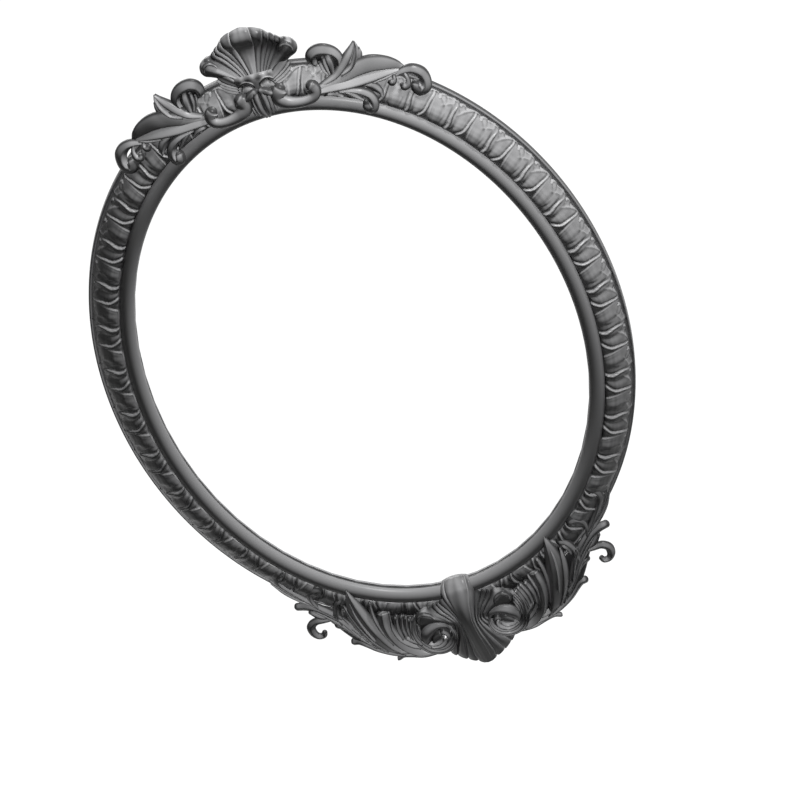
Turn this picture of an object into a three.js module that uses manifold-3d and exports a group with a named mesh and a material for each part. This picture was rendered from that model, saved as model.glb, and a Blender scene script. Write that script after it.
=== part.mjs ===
// Carved oval picture frame, wall hung, built up from a jointed wooden rim, turned mouldings,
// applied carvings and small steel hardware. Millimetres, +Z up, the front faces -Y.
// The origin lies on the wall, at the middle of the top pad's back face.
import * as THREE from 'three';
import { mergeVertices } from 'three/addons/utils/BufferGeometryUtils.js';
import Module from 'manifold-3d';

const wasm = await Module();
wasm.setup();

// Oval: the groove between the round bead and the leaf band is the line all sections are measured from
const GROOVE_HALF_WIDTH = 238;
const GROOVE_HALF_HEIGHT = 317.5;
const STEPS_PER_EIGHTH = 7;

// Depths, front to back, measured from the groove plane towards the wall
const RIM_BACK = 27;
const WALL_GAP = 5;
const GROOVE_Y = -(RIM_BACK + WALL_GAP);

// Clearance left between glued neighbours
const GLUE_GAP = 0.3;

// Round bead round the sight opening
const BEAD_RADIUS = 8.1;
const BEAD_CENTRE_OUT = -7.7;
const BEAD_CENTRE_BACK = 3.3;
const BEAD_BASE_BACK = 5.9;
const BEAD_ARC_STEPS = 9;

// Rabbet that takes the picture from behind
const RABBET_WIDTH = 8.5;
const RABBET_SHOULDER_BACK = 9;
// Its back edge is eased, so that the picture goes in without catching
const RABBET_EASE = { out: 4, back: 6 };

// Leaf band and the thin lip outside it
const BAND_WIDTH = 26.2;
const BAND_START_OUT = 0.7;
const BAND_FALL = 20.6;
const BAND_BED_SLOPE = 1.9;
const BAND_SHOULDER_LIFT = 2.6;
const BAND_EDGE_THICK = 2.4;
const LIP_WIDTH = 4.4;
const LIP_RISE = 7.1;
const LIP_FLAT_DROP = 1.5;
const LIP_ROUND_DROP = 0.5;
const LIP_EDGE_DROP = 1.8;
// Shares of the lip's width: inner flat, start of the round, crown, end of the round
const LIP_SHARES = [0.2, 0.34, 0.58, 0.84];

// Loose tongues across the rim's four joints
const TONGUE = { length: 34, width: 16, thick: 4, out: 10, back: 19.5 };

// Hanging hardware on the back
const HANGER_ANGLE = 53;
const STRAP = { width: 12, length: 21, thick: 1, out: 9 };
const RING = { wire: 1, halfWidth: 8.2, reach: 13, split: 5.2 };
const KNUCKLE_WALL = 0.8;
const RUN_GAP = 0.3;
const SCREW = { headRadius: 3, headThick: 1.2, shankRadius: 1.3, length: 13, point: 3 };
const SCREW_TO_RING = 1.5;
// How far a cut runs past the face that it opens
const CUT_PAST = 1;
const BUTTON_ANGLES = [35, 145, 215, 325];
const BUTTON = { width: 9, tipWidth: 7.2, length: 26, thick: 1.2, tail: 5, out: 6 };
const BUMPERS = { top: 0, right: 162, left: 198 };
const BUMPER_RADIUS = 6;
const BUMPER_OUT = 10;

// The oval's middle lies this far below the origin
const ORIGIN_UP = GROOVE_HALF_HEIGHT + BUMPER_OUT;

const sightOut = BEAD_CENTRE_OUT - BEAD_RADIUS;
const rabbetOut = sightOut + RABBET_WIDTH;
const bandEndOut = BAND_START_OUT + BAND_WIDTH;
const lipStartOut = bandEndOut + GLUE_GAP;
const lipEndOut = lipStartOut + LIP_WIDTH;

const paint = new THREE.Color(0.27, 0.27, 0.275);
const FINISH = {
  carving: () => new THREE.MeshStandardMaterial({ color: paint, roughness: 0.42, metalness: 0 }),
  rawWood: () => new THREE.MeshStandardMaterial({ color: 0x6e5a44, roughness: 0.8, metalness: 0 }),
  steel: () => new THREE.MeshStandardMaterial({ color: 0x9a9c9e, roughness: 0.35, metalness: 1 }),
  felt: () => new THREE.MeshStandardMaterial({ color: 0x1c1c1e, roughness: 0.95, metalness: 0 }),
};

// Solids

function toSolid(positions, triangles) {
  let volume = 0;
  const p = (i) => new THREE.Vector3(positions[3 * i], positions[3 * i + 1], positions[3 * i + 2]);
  for (const [a, b, c] of triangles) {
    volume += p(a).dot(p(b).cross(p(c)));
  }
  const facing = volume > 0 ? triangles : triangles.map(([a, b, c]) => [a, c, b]);
  return new wasm.Manifold(new wasm.Mesh({
    numProp: 3,
    vertProperties: new Float32Array(positions),
    triVerts: new Uint32Array(facing.flat()),
  }));
}

// Turns a three.js geometry, moved by a matrix, into a solid
function fromGeometry(geometry, matrix = new THREE.Matrix4()) {
  const bare = geometry.clone().applyMatrix4(matrix);
  bare.deleteAttribute('normal');
  bare.deleteAttribute('uv');
  const merged = mergeVertices(bare, 1e-4);
  const index = Array.from(merged.index.array);
  const triangles = [];
  for (let i = 0; i < index.length; i += 3) {
    const [a, b, c] = index.slice(i, i + 3);
    if (a !== b && b !== c && a !== c) triangles.push([a, b, c]);
  }
  return toSolid(Array.from(merged.attributes.position.array), triangles);
}

function toGeometry(solid) {
  const mesh = solid.getMesh();
  const geometry = new THREE.BufferGeometry();
  geometry.setAttribute('position', new THREE.BufferAttribute(new Float32Array(mesh.vertProperties), 3));
  geometry.setIndex(new THREE.BufferAttribute(new Uint32Array(mesh.triVerts), 1));
  geometry.computeVertexNormals();
  return geometry;
}

function largestBody(solid) {
  const bodies = solid.decompose();
  bodies.sort((a, b) => b.volume() - a.volume());
  return bodies[0];
}

// Rings of points joined in order, both ends closed with a fan to a point of their own
function loft(rings, startPoint, endPoint) {
  const sides = rings[0].length;
  const positions = rings.flat().flatMap((v) => [v.x, v.y, v.z]);
  const triangles = [];
  for (let i = 0; i + 1 < rings.length; i += 1) {
    for (let j = 0; j < sides; j += 1) {
      const a = i * sides + j;
      const b = i * sides + ((j + 1) % sides);
      triangles.push([a, b, b + sides], [a, b + sides, a + sides]);
    }
  }
  const start = rings.length * sides;
  positions.push(startPoint.x, startPoint.y, startPoint.z, endPoint.x, endPoint.y, endPoint.z);
  const last = (rings.length - 1) * sides;
  for (let j = 0; j < sides; j += 1) {
    const k = (j + 1) % sides;
    triangles.push([start, k, j], [start + 1, last + j, last + k]);
  }
  return toSolid(positions, triangles);
}

// The oval: a place at an angle clockwise from the top, a way out from the groove line and a way back
function ovalPoint(angle, out, back) {
  const t = THREE.MathUtils.degToRad(angle);
  const normal = new THREE.Vector2(Math.sin(t) / GROOVE_HALF_WIDTH, Math.cos(t) / GROOVE_HALF_HEIGHT).normalize();
  const x = GROOVE_HALF_WIDTH * Math.sin(t) + out * normal.x;
  const z = GROOVE_HALF_HEIGHT * Math.cos(t) + out * normal.y;
  return new THREE.Vector3(x, GROOVE_Y + back, z);
}

function ovalNormal(angle) {
  return ovalPoint(angle, 1, 0).sub(ovalPoint(angle, 0, 0));
}

// A moulding: a closed section of [out, back] points carried round part of the oval
function moulding(section, fromAngle, toAngle) {
  const steps = Math.round((Math.abs(toAngle - fromAngle) / 45) * STEPS_PER_EIGHTH);
  const triangles = THREE.ShapeUtils.triangulateShape(section.map(([u, v]) => new THREE.Vector2(u, v)), []);
  const positions = [];
  const count = section.length;
  const trim = THREE.MathUtils.radToDeg(GLUE_GAP / 2 / GROOVE_HALF_WIDTH);
  for (let i = 0; i <= steps; i += 1) {
    const share = i / steps;
    const nudge = i === 0 ? trim : (i === steps ? -trim : 0);
    const angle = fromAngle + share * (toAngle - fromAngle) + nudge;
    for (const [out, back] of section) positions.push(...ovalPoint(angle, out, back).toArray());
  }
  const turn = THREE.ShapeUtils.isClockWise(section.map(([u, v]) => new THREE.Vector2(u, v)));
  const last = steps * count;
  const faces = [];
  for (const [a, b, c] of triangles) {
    faces.push(turn ? [a, c, b] : [a, b, c]);
    faces.push(turn ? [last + a, last + b, last + c] : [last + a, last + c, last + b]);
  }
  for (let i = 0; i < steps; i += 1) {
    for (let j = 0; j < count; j += 1) {
      const a = i * count + j;
      const b = i * count + ((j + 1) % count);
      faces.push(turn ? [a, b, a + count] : [a, a + count, b]);
      faces.push(turn ? [b, b + count, a + count] : [b, a + count, b + count]);
    }
  }
  return toSolid(positions, faces);
}

// Sections

function beadArc(radius) {
  const points = [];
  for (let i = 0; i <= BEAD_ARC_STEPS; i += 1) {
    const turn = Math.PI * (1 - i / BEAD_ARC_STEPS);
    points.push([BEAD_CENTRE_OUT + radius * Math.cos(turn), BEAD_CENTRE_BACK - radius * Math.sin(turn)]);
  }
  return points;
}

function beadSection() {
  return [[sightOut, BEAD_BASE_BACK], ...beadArc(BEAD_RADIUS), [BEAD_CENTRE_OUT + BEAD_RADIUS, BEAD_BASE_BACK]];
}

// Face of the leaf band, from the groove to the lip: shares of its width and of its fall
const BAND_FACE = [[0.02, 0.07], [0.11, -0.01], [0.24, -0.02], [0.39, 0.045], [0.55, 0.18], [0.7, 0.38],
  [0.84, 0.61], [0.94, 0.83], [1, 1]];

function bandFace(lift) {
  return BAND_FACE.map(([w, f]) => [BAND_START_OUT + w * BAND_WIDTH, f * BAND_FALL - lift]);
}

// Bed of the leaf band on the rim, as deep below the face as the band is thick
const BED_SHARES = [0.36, 0.8];
const BAND_BED = [[0, BEAD_BASE_BACK], [BED_SHARES[0] * BAND_WIDTH, BEAD_BASE_BACK + BAND_BED_SLOPE],
  [BED_SHARES[1] * BAND_WIDTH, BAND_FALL - BAND_SHOULDER_LIFT], [BAND_WIDTH, BAND_FALL + BAND_EDGE_THICK]];

function bandSection() {
  const bed = BAND_BED.map(([out, back]) => [BAND_START_OUT + out, back]);
  return [...bandFace(0), ...bed.reverse()];
}

function rimSection() {
  const bed = BAND_BED.map(([out, back]) => [BAND_START_OUT + out, back + GLUE_GAP]);
  bed[0][0] = BAND_START_OUT;
  return [[sightOut, BEAD_BASE_BACK + GLUE_GAP], ...bed, [bandEndOut, RIM_BACK],
    [rabbetOut + RABBET_EASE.out, RIM_BACK], [rabbetOut, RIM_BACK - RABBET_EASE.back],
    [rabbetOut, RABBET_SHOULDER_BACK], [sightOut, RABBET_SHOULDER_BACK]];
}

// Thin rounded lip outside the band, over a narrow flat
function lipSection(grow = 0) {
  const top = RIM_BACK - LIP_RISE - grow;
  const flat = top + LIP_FLAT_DROP;
  const round = top + LIP_ROUND_DROP;
  const [inner, rise, crown, outer] = LIP_SHARES.map((share) => lipStartOut + share * LIP_WIDTH);
  return [[lipStartOut, flat], [inner, flat], [rise, round], [crown, top], [outer + grow / 2, round],
    [lipEndOut + grow, top + LIP_EDGE_DROP], [lipEndOut + grow, RIM_BACK], [lipStartOut, RIM_BACK]];
}

// Everything of the mouldings at once, grown by the glue gap: what the carvings are fitted over
function seatSection() {
  const arc = beadArc(BEAD_RADIUS + GLUE_GAP);
  const lip = lipSection(GLUE_GAP).slice(0, -2);
  const farBack = 2 * RIM_BACK;
  return [[sightOut - GLUE_GAP, farBack], ...arc, ...bandFace(GLUE_GAP), ...lip,
    [lipEndOut + GLUE_GAP, farBack]];
}

// Carvings

// Half width and half height of the oval that the carvings' points are given on
const DRAWN_OVAL = [238, 317.5];

// A place as it is seen on the groove plane from the photograph's side, brought to its real depth.
// On an oval of another size it goes with the groove beside it.
const SEEN_SHIFT = [0.216, 0.645];
function seen(x, z, back) {
  const angle = Math.atan2(x / DRAWN_OVAL[0], z / DRAWN_OVAL[1]);
  const wider = (GROOVE_HALF_WIDTH - DRAWN_OVAL[0]) * Math.sin(angle);
  const taller = (GROOVE_HALF_HEIGHT - DRAWN_OVAL[1]) * Math.cos(angle);
  return new THREE.Vector3(x + wider - SEEN_SHIFT[0] * back, GROOVE_Y + back, z + taller - SEEN_SHIFT[1] * back);
}

// A lobe: a round ended body that follows points, with a half width in the frame's plane and a half depth.
// Each point is [x, z, back, halfWidth, halfDepth] and is given as seen in the photograph.
const LOBE_SIDES = 6;
const LOBE_STEPS = 2;
const LOBE_END_ROUND = 0.6;
function lobe(points, side, grow = 0) {
  const path = points.map(([x, z, back]) => seen(x, z, back));
  path.forEach((v) => { v.x *= side; });
  const curve = new THREE.CatmullRomCurve3(path, false, 'centripetal');
  const spans = points.length - 1;
  const steps = spans * LOBE_STEPS;
  const front = new THREE.Vector3(0, -1, 0);
  const rings = [];
  for (let i = 0; i <= steps; i += 1) {
    const u = i / steps;
    const at = Math.min(Math.floor(u * spans), spans - 1);
    const part = u * spans - at;
    const width = THREE.MathUtils.lerp(points[at][3], points[at + 1][3], part) + grow;
    const depth = THREE.MathUtils.lerp(points[at][4], points[at + 1][4], part) + grow;
    const tangent = curve.getTangent(u);
    const across = new THREE.Vector3().crossVectors(tangent, front).normalize();
    const up = new THREE.Vector3().crossVectors(across, tangent).normalize();
    const centre = curve.getPoint(u);
    const ring = [];
    for (let j = 0; j < LOBE_SIDES; j += 1) {
      const turn = (2 * Math.PI * (j + 0.5)) / LOBE_SIDES;
      ring.push(centre.clone().addScaledVector(across, width * Math.cos(turn)).addScaledVector(up, depth * Math.sin(turn)));
    }
    rings.push(ring);
  }
  const startPoint = curve.getPoint(0).addScaledVector(curve.getTangent(0), -LOBE_END_ROUND * (points[0][3] + grow));
  const endPoint = curve.getPoint(1).addScaledVector(curve.getTangent(1), LOBE_END_ROUND * (points[spans][3] + grow));
  return loft(rings, startPoint, endPoint);
}

function union(solids) {
  return solids.reduce((sum, next) => sum.add(next));
}

// Each carving is a list of lobes for the right hand side; both says that its lobes are mirrored into one piece
const CARVINGS = {
  crest_knot: { both: true, lobes: [
    [[3, 347, -6, 8, 8], [10, 346, -6, 8, 8], [16, 343, -4, 4.5, 5]],
  ] },
  crest_stem: { both: true, lobes: [
    [[3, 334, -7, 5, 6], [3, 320, -7, 4.5, 6], [2, 306, -2, 3, 4]],
  ] },
  crest_scroll: { lobes: [
    [[20, 331, -4, 8, 8], [19, 322, -5, 7.5, 8], [28, 314, -7, 6, 7], [41, 311, -7, 5.5, 7],
      [51, 314, -5, 5.5, 7], [53, 323, -2, 6.5, 7]],
  ] },
  crest_shell: { both: true, lobes: [
    [[3, 356, 0, 6, 7], [6, 376, 8, 8, 7], [8, 396, 7, 11, 8], [9, 405, 16, 11, 9]],
    [[7, 356, 2, 5, 6], [18, 376, 9, 7, 7], [25, 392, 10, 7.5, 7], [28, 400, 17, 6, 7]],
    [[10, 354, 3, 5, 6], [26, 370, 10, 7, 7], [35, 382, 13, 7, 7], [38, 389, 18, 5, 6]],
    [[12, 350, 4, 5, 6], [27, 362, 10, 7, 7], [39, 375, 12, 8, 8], [45, 380, 14, 8, 8]],
    [[12, 346, 5, 4, 6], [26, 350, 9, 6, 6], [38, 357, 13, 4, 5]],
  ] },
  crest_hook: { lobes: [
    [[65, 354, 13, 6, 7], [67, 363, 14, 6, 6], [77, 366, 15, 6, 6], [88, 358, 15, 5.5, 6],
      [88, 345, 14, 5, 6], [80, 333, 12, 4, 6]],
    [[77, 354, 14, 4, 4], [77, 344, 13, 6.5, 5], [76, 333, 11, 3, 5]],
  ] },
  crest_leaf: { lobes: [
    [[58, 317, 0, 4, 5], [85, 316, 4, 6, 7], [115, 315, 10, 6, 7], [143, 317, 17, 1.5, 4]],
    [[60, 321, 2, 3, 5], [90, 326, 8, 7, 7], [122, 331, 14, 9, 7], [146, 321, 18, 2, 4]],
    [[72, 325, 6, 4, 5], [92, 338, 12, 8, 6], [104, 350, 16, 7, 5], [111, 361, 18, 1.5, 3]],
  ] },
  crest_end_curl: { lobes: [
    [[140, 310, 13, 4, 6], [154, 313, 15, 6, 7], [164, 303, 16, 6, 7], [162, 290, 15, 5.5, 7],
      [155, 290, 13, 5.5, 6]],
  ] },
  crest_drop_curl: { lobes: [
    [[84, 308, -2, 2, 6], [98, 303, 0, 5, 6], [107, 294, 1, 5.5, 6], [105, 284, 0, 5.5, 6], [101, 283, -1, 5.5, 6]],
  ] },
  base_shell: { both: true, lobes: [
    [[2, -352, -6, 5, 8], [4, -330, -7, 8, 7], [7, -313, -11, 10, 7], [8, -301, -4, 9, 7]],
    [[5, -350, -5, 5, 7], [17, -330, -6, 7, 6], [22, -319, -9, 6.5, 6], [24, -313, -3, 4, 5]],
    [[8, -350, -4, 5, 7], [22, -338, -4, 7, 7], [35, -327, -4, 8, 7], [43, -330, -2, 7, 7]],
    [[8, -336, 1, 9, 8], [9, -362, 3, 9, 8]],
    [[8, -354, 3, 8, 6], [16, -370, 9, 13, 6], [20, -378, 13, 13, 5]],
    [[2, -352, -4, 5, 8], [3, -378, 8, 6.5, 8], [3.5, -397, 16, 6.5, 6]],
    [[5, -358, -1, 5, 7], [12, -378, 9, 7, 7], [19, -389, 16, 6.5, 5]],
    [[8, -362, 2, 5, 7], [21, -374, 11, 7.5, 6], [31, -381, 17, 7, 5]],
  ] },
  base_volute: { lobes: [
    [[52, -342, -1, 3, 5], [38, -342, -2, 4.5, 7], [25, -350, -1, 5, 7], [25, -365, 4, 5, 7], [37, -373, 9, 5, 7],
      [51, -370, 10, 5, 6], [59, -356, 7, 5, 5]],
    [[34, -357, 0, 12, 8], [49, -357, 2, 13, 8]],
    [[17, -348, 5, 8, 4], [36, -348, 7, 12, 4], [54, -346, 8, 14, 4]],
  ] },
  base_big_leaf: { lobes: [
    [[93, -352, 8, 5, 6], [97, -330, 2, 9, 7], [103, -300, -3, 9, 6], [105, -281, -6, 2.5, 4]],
  ] },
  base_spray: { lobes: [
    [[60, -352, 12, 15, 8], [90, -346, 15, 19, 7], [118, -322, 17, 17, 6], [146, -291, 19, 6, 5]],
    [[60, -368, 11, 5, 6], [76, -370, 16, 5, 6], [90, -370, 19, 2, 3]],
    [[66, -362, 9, 6, 7], [92, -360, 15, 7, 6], [112, -350, 18, 6, 5], [129, -340, 19, 3.5, 3]],
    [[78, -350, 7, 7, 7], [104, -343, 13, 8, 7], [124, -324, 17, 7, 5], [139, -313, 19, 3.5, 3]],
    [[108, -338, 10, 7, 7], [124, -314, 12, 8, 7], [144, -294, 16, 7, 5], [171, -278, 19, 3.5, 3]],
    [[66, -356, 6, 5, 7], [66, -338, 3, 9, 6], [64, -325, 1, 6, 5]],
    [[80, -350, 6, 5, 7], [81, -332, 2, 6, 6], [80, -316, 0, 4, 5]],
    [[88, -346, 6, 3, 6], [90, -320, 1, 4, 6], [90, -300, -2, 2, 4]],
  ] },
  base_hook: { lobes: [
    [[142, -303, 15, 4, 5], [154, -302, 17, 4.5, 5], [163, -308, 18, 4.5, 5], [161, -319, 18, 4, 5],
      [153, -321, 17, 3.5, 4]],
  ] },
  band_curl_low: { lobes: [
    [[127, -303, 7, 4, 5], [126, -290, 4, 4.5, 5], [117, -285, 2, 4.5, 5]],
  ] },
  band_curl_mid: { lobes: [
    [[148, -276, 8, 3, 5], [147, -268, 5, 4, 5], [137, -266, 2, 4.5, 5], [136, -271, 2, 4, 5]],
  ] },
  band_curl_high: { lobes: [
    [[152, -270, 12, 3, 5], [166, -256, 12, 5, 5], [173, -243, 8, 5, 5], [167, -234, 3, 4.5, 5]],
    [[158, -268, 16, 3, 4], [174, -254, 16, 5, 4], [184, -240, 15, 2, 3]],
  ] },
};

// Those before in this order are whole, and those after are cut back from them where they meet
const CARVING_ORDER = Object.keys(CARVINGS);

function carvingSolid(name, side, grow) {
  const { lobes, both } = CARVINGS[name];
  const sides = both ? [1, -1] : [side];
  return union(sides.flatMap((s) => lobes.map((points) => lobe(points, s, grow))));
}

function touching(a, b) {
  const p = a.boundingBox();
  const q = b.boundingBox();
  return [0, 1, 2].every((k) => p.min[k] < q.max[k] && q.min[k] < p.max[k]);
}

function buildCarvings() {
  const seat = moulding(seatSection(), 0, 360 - 1e-6);
  const wallSide = new THREE.BoxGeometry(4 * GROOVE_HALF_WIDTH, 2 * RIM_BACK, 4 * GROOVE_HALF_HEIGHT);
  const behind = fromGeometry(wallSide, new THREE.Matrix4().makeTranslation(0, GROOVE_Y + 2 * RIM_BACK, 0));
  const cutters = [];
  const built = [];
  for (const name of CARVING_ORDER) {
    const { both } = CARVINGS[name];
    for (const side of both ? [1] : [1, -1]) {
      let solid = carvingSolid(name, side, 0).subtract(seat).subtract(behind);
      for (const cutter of cutters) {
        if (touching(solid, cutter)) solid = solid.subtract(cutter);
      }
      const label = both ? name : `${name}_${side > 0 ? 'right' : 'left'}`;
      built.push([label, largestBody(solid)]);
      cutters.push(carvingSolid(name, side, GLUE_GAP));
    }
  }
  return built;
}

// Hardware

// A matrix that stands a piece on the back of the rim: local x along the rim, y out to the wall, z outwards
function onBack(angle, out) {
  const normal = ovalNormal(angle);
  const outward = new THREE.Vector3(normal.x, 0, normal.z);
  const wallward = new THREE.Vector3(0, 1, 0);
  const along = new THREE.Vector3().crossVectors(wallward, outward);
  const matrix = new THREE.Matrix4().makeBasis(along, wallward, outward);
  return matrix.setPosition(ovalPoint(angle, out, RIM_BACK));
}

// Upright on the back of the rim whatever the angle there, for what hangs
function uprightOnBack(angle, out) {
  return new THREE.Matrix4().setPosition(ovalPoint(angle, out, RIM_BACK));
}

function box(width, depth, height, x, y, z) {
  const geometry = new THREE.BoxGeometry(width, depth, height);
  return fromGeometry(geometry, new THREE.Matrix4().makeTranslation(x, y, z));
}

// A rod along Y, from one depth to another
function rodY(radius, fromY, toY, sides = 16) {
  const geometry = new THREE.CylinderGeometry(radius, radius, toY - fromY, sides);
  return fromGeometry(geometry, new THREE.Matrix4().makeTranslation(0, (fromY + toY) / 2, 0));
}

// A rod along X, centred
function rodX(radius, length, y, z, sides = 16) {
  const geometry = new THREE.CylinderGeometry(radius, radius, length, sides);
  const matrix = new THREE.Matrix4().makeTranslation(0, y, z);
  return fromGeometry(geometry, matrix.multiply(new THREE.Matrix4().makeRotationZ(Math.PI / 2)));
}

// Pan head wood screw, its head's underside at the given height over the rim's back
function screwSolid(headAt) {
  const tip = headAt - SCREW.length;
  const profile = [[0, tip], [SCREW.shankRadius, tip + SCREW.point], [SCREW.shankRadius, headAt],
    [SCREW.headRadius, headAt], [SCREW.headRadius, headAt + 0.5 * SCREW.headThick],
    [0.6 * SCREW.headRadius, headAt + SCREW.headThick], [0, headAt + SCREW.headThick]];
  const geometry = new THREE.LatheGeometry(profile.map(([r, y]) => new THREE.Vector2(r, y)), 16);
  return fromGeometry(geometry);
}

function screwHole() {
  return rodY(SCREW.shankRadius + GLUE_GAP, -SCREW.length - CUT_PAST, CUT_PAST);
}

const strapBack = GLUE_GAP;
const strapFace = strapBack + STRAP.thick;
const knuckleInner = RING.wire + RUN_GAP;
const knuckleOuter = knuckleInner + KNUCKLE_WALL;
const knuckleAt = strapBack + knuckleOuter;
// The ring lies clear round the screw's head when it hangs down
const strapScrewDown = -(RING.reach - RING.wire - SCREW.headRadius - SCREW_TO_RING);

// Strap of a hanger: a plate with a rolled eye at its top
function strapSolid() {
  const plate = box(STRAP.width, STRAP.thick, STRAP.length, 0, strapBack + STRAP.thick / 2, -STRAP.length / 2);
  const eye = rodX(knuckleOuter, STRAP.width, knuckleAt, 0);
  const bar = rodX(knuckleInner, STRAP.width + 2 * CUT_PAST, knuckleAt, 0);
  const hole = rodY(SCREW.shankRadius + GLUE_GAP, -CUT_PAST, strapFace + CUT_PAST);
  return plate.add(eye).subtract(bar).subtract(hole.translate([0, 0, strapScrewDown]));
}

// The ring stands up from its strap, as on a hook: a straight bar through the eye and a round bow above it
function ringSolid() {
  const bow = [];
  const bowSteps = 14;
  for (let i = 0; i <= bowSteps; i += 1) {
    const turn = (Math.PI * i) / bowSteps;
    bow.push(new THREE.Vector3(RING.halfWidth * Math.cos(turn), 0, RING.reach * Math.sin(turn)));
  }
  const path = [...bow, new THREE.Vector3(-RING.split, 0, 0), new THREE.Vector3(RING.split, 0, 0)];
  return closedTube(path, RING.wire).translate([0, knuckleAt, 0]);
}

// A round wire along a flat closed path in the XZ plane
function closedTube(path, radius, sides = 8) {
  const positions = [];
  const triangles = [];
  const count = path.length;
  for (let i = 0; i < count; i += 1) {
    const before = path[(i + count - 1) % count];
    const after = path[(i + 1) % count];
    const tangent = after.clone().sub(before).normalize();
    const across = new THREE.Vector3(-tangent.z, 0, tangent.x);
    for (let j = 0; j < sides; j += 1) {
      const turn = (2 * Math.PI * (j + 0.5)) / sides;
      const v = path[i].clone().addScaledVector(across, radius * Math.cos(turn));
      positions.push(v.x, v.y + radius * Math.sin(turn), v.z);
      const a = i * sides + j;
      const b = i * sides + ((j + 1) % sides);
      const c = ((i + 1) % count) * sides + j;
      const d = ((i + 1) % count) * sides + ((j + 1) % sides);
      triangles.push([a, b, d], [a, d, c]);
    }
  }
  return toSolid(positions, triangles);
}

// Turn button: a long plate with round ends that turns on its screw. Its long end points in, over the rabbet.
function buttonSolid() {
  const shape = new THREE.Shape();
  const half = BUTTON.width / 2;
  const tipHalf = BUTTON.tipWidth / 2;
  const tipCentre = -(BUTTON.length - BUTTON.tail - half);
  shape.absarc(0, 0, half, 0, Math.PI, false);
  shape.lineTo(-tipHalf, tipCentre);
  shape.absarc(0, tipCentre, tipHalf, Math.PI, 2 * Math.PI, false);
  shape.closePath();
  const plate = new THREE.ExtrudeGeometry(shape, { depth: BUTTON.thick, bevelEnabled: false, curveSegments: 8 });
  const matrix = new THREE.Matrix4().makeTranslation(0, GLUE_GAP + BUTTON.thick, 0);
  matrix.multiply(new THREE.Matrix4().makeRotationX(Math.PI / 2));
  const hole = rodY(SCREW.shankRadius + RUN_GAP, -CUT_PAST, GLUE_GAP + BUTTON.thick + CUT_PAST);
  return fromGeometry(plate, matrix).subtract(hole);
}

function bumperSolid() {
  return rodY(BUMPER_RADIUS, GLUE_GAP, WALL_GAP, 20);
}

// Assembly

const group = new THREE.Group();
group.position.z = -ORIGIN_UP;
function place(name, solid, finish, matrix) {
  const moved = matrix ? solid.transform(matrix.toArray()) : solid;
  const mesh = new THREE.Mesh(toGeometry(moved), FINISH[finish]());
  mesh.name = name;
  group.add(mesh);
}

function rim() {
  const names = [['rim_segment_right', 45], ['rim_segment_bottom', 135], ['rim_segment_left', 225],
    ['rim_segment_top', 315]];
  const cuts = [];
  for (const [k, [, angle]] of names.entries()) {
    const matrix = onBack(angle, TONGUE.out);
    const y = TONGUE.back - RIM_BACK;
    const tongue = box(TONGUE.length, TONGUE.thick, TONGUE.width, 0, y, 0);
    place(`joint_tongue_${k + 1}`, tongue, 'rawWood', matrix);
    const g = 2 * GLUE_GAP;
    cuts.push(box(TONGUE.length + g, TONGUE.thick + g, TONGUE.width + g, 0, y, 0).transform(matrix.toArray()));
  }
  for (const side of [1, -1]) {
    const at = uprightOnBack(side * HANGER_ANGLE, STRAP.out);
    cuts.push(screwHole().translate([0, 0, strapScrewDown]).transform(at.toArray()));
  }
  for (const angle of BUTTON_ANGLES) cuts.push(screwHole().transform(onBack(angle, BUTTON.out).toArray()));
  for (const [name, angle] of names) {
    let solid = moulding(rimSection(), angle, angle + 90);
    for (const cut of cuts) {
      if (touching(solid, cut)) solid = solid.subtract(cut);
    }
    place(name, largestBody(solid), 'rawWood');
  }
}

function mouldings() {
  for (const [label, from] of [['right', 0], ['left', 180]]) {
    place(`sight_bead_${label}`, moulding(beadSection(), from, from + 180), 'carving');
    place(`leaf_band_${label}`, moulding(bandSection(), from, from + 180), 'carving');
    place(`edge_lip_${label}`, moulding(lipSection(), from, from + 180), 'carving');
  }
}

function hardware() {
  for (const [label, side] of [['right', 1], ['left', -1]]) {
    const at = uprightOnBack(side * HANGER_ANGLE, STRAP.out);
    place(`hanger_strap_${label}`, strapSolid(), 'steel', at);
    place(`hanger_ring_${label}`, ringSolid(), 'steel', at);
    const screw = screwSolid(strapFace + GLUE_GAP / 3).translate([0, 0, strapScrewDown]);
    place(`hanger_screw_${label}`, screw, 'steel', at);
  }
  for (const [label, angle] of Object.entries(BUMPERS)) {
    place(`wall_bumper_${label}`, bumperSolid(), 'felt', onBack(angle, BUMPER_OUT));
  }
  // The frame is empty, so the buttons rest turned aside, along the rim towards the frame's widest part
  for (const [k, angle] of BUTTON_ANGLES.entries()) {
    const at = onBack(angle, BUTTON.out);
    const aside = angle % 180 < 90 ? -Math.PI / 2 : Math.PI / 2;
    const open = new THREE.Matrix4().makeRotationY(aside);
    place(`turn_button_${k + 1}`, buttonSolid().transform(open.toArray()), 'steel', at);
    place(`button_screw_${k + 1}`, screwSolid(GLUE_GAP + BUTTON.thick + GLUE_GAP), 'steel', at);
  }
}

rim();
mouldings();
for (const [name, solid] of buildCarvings()) place(name, solid, 'carving');
hardware();

export default group;
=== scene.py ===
# %% [markdown]
# # A carved oval picture frame in Blender
# The frame is wood under dark grey satin paint. From the picture outwards it has a round bead, a
# groove, a cushion of overlapping leaves and a thin lip. A shell crest and a leafy base are glued on
# over them. The solid model gives the sizes. This lesson adds what a carver would cut: leaves, flutes,
# curls and folds.

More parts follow.
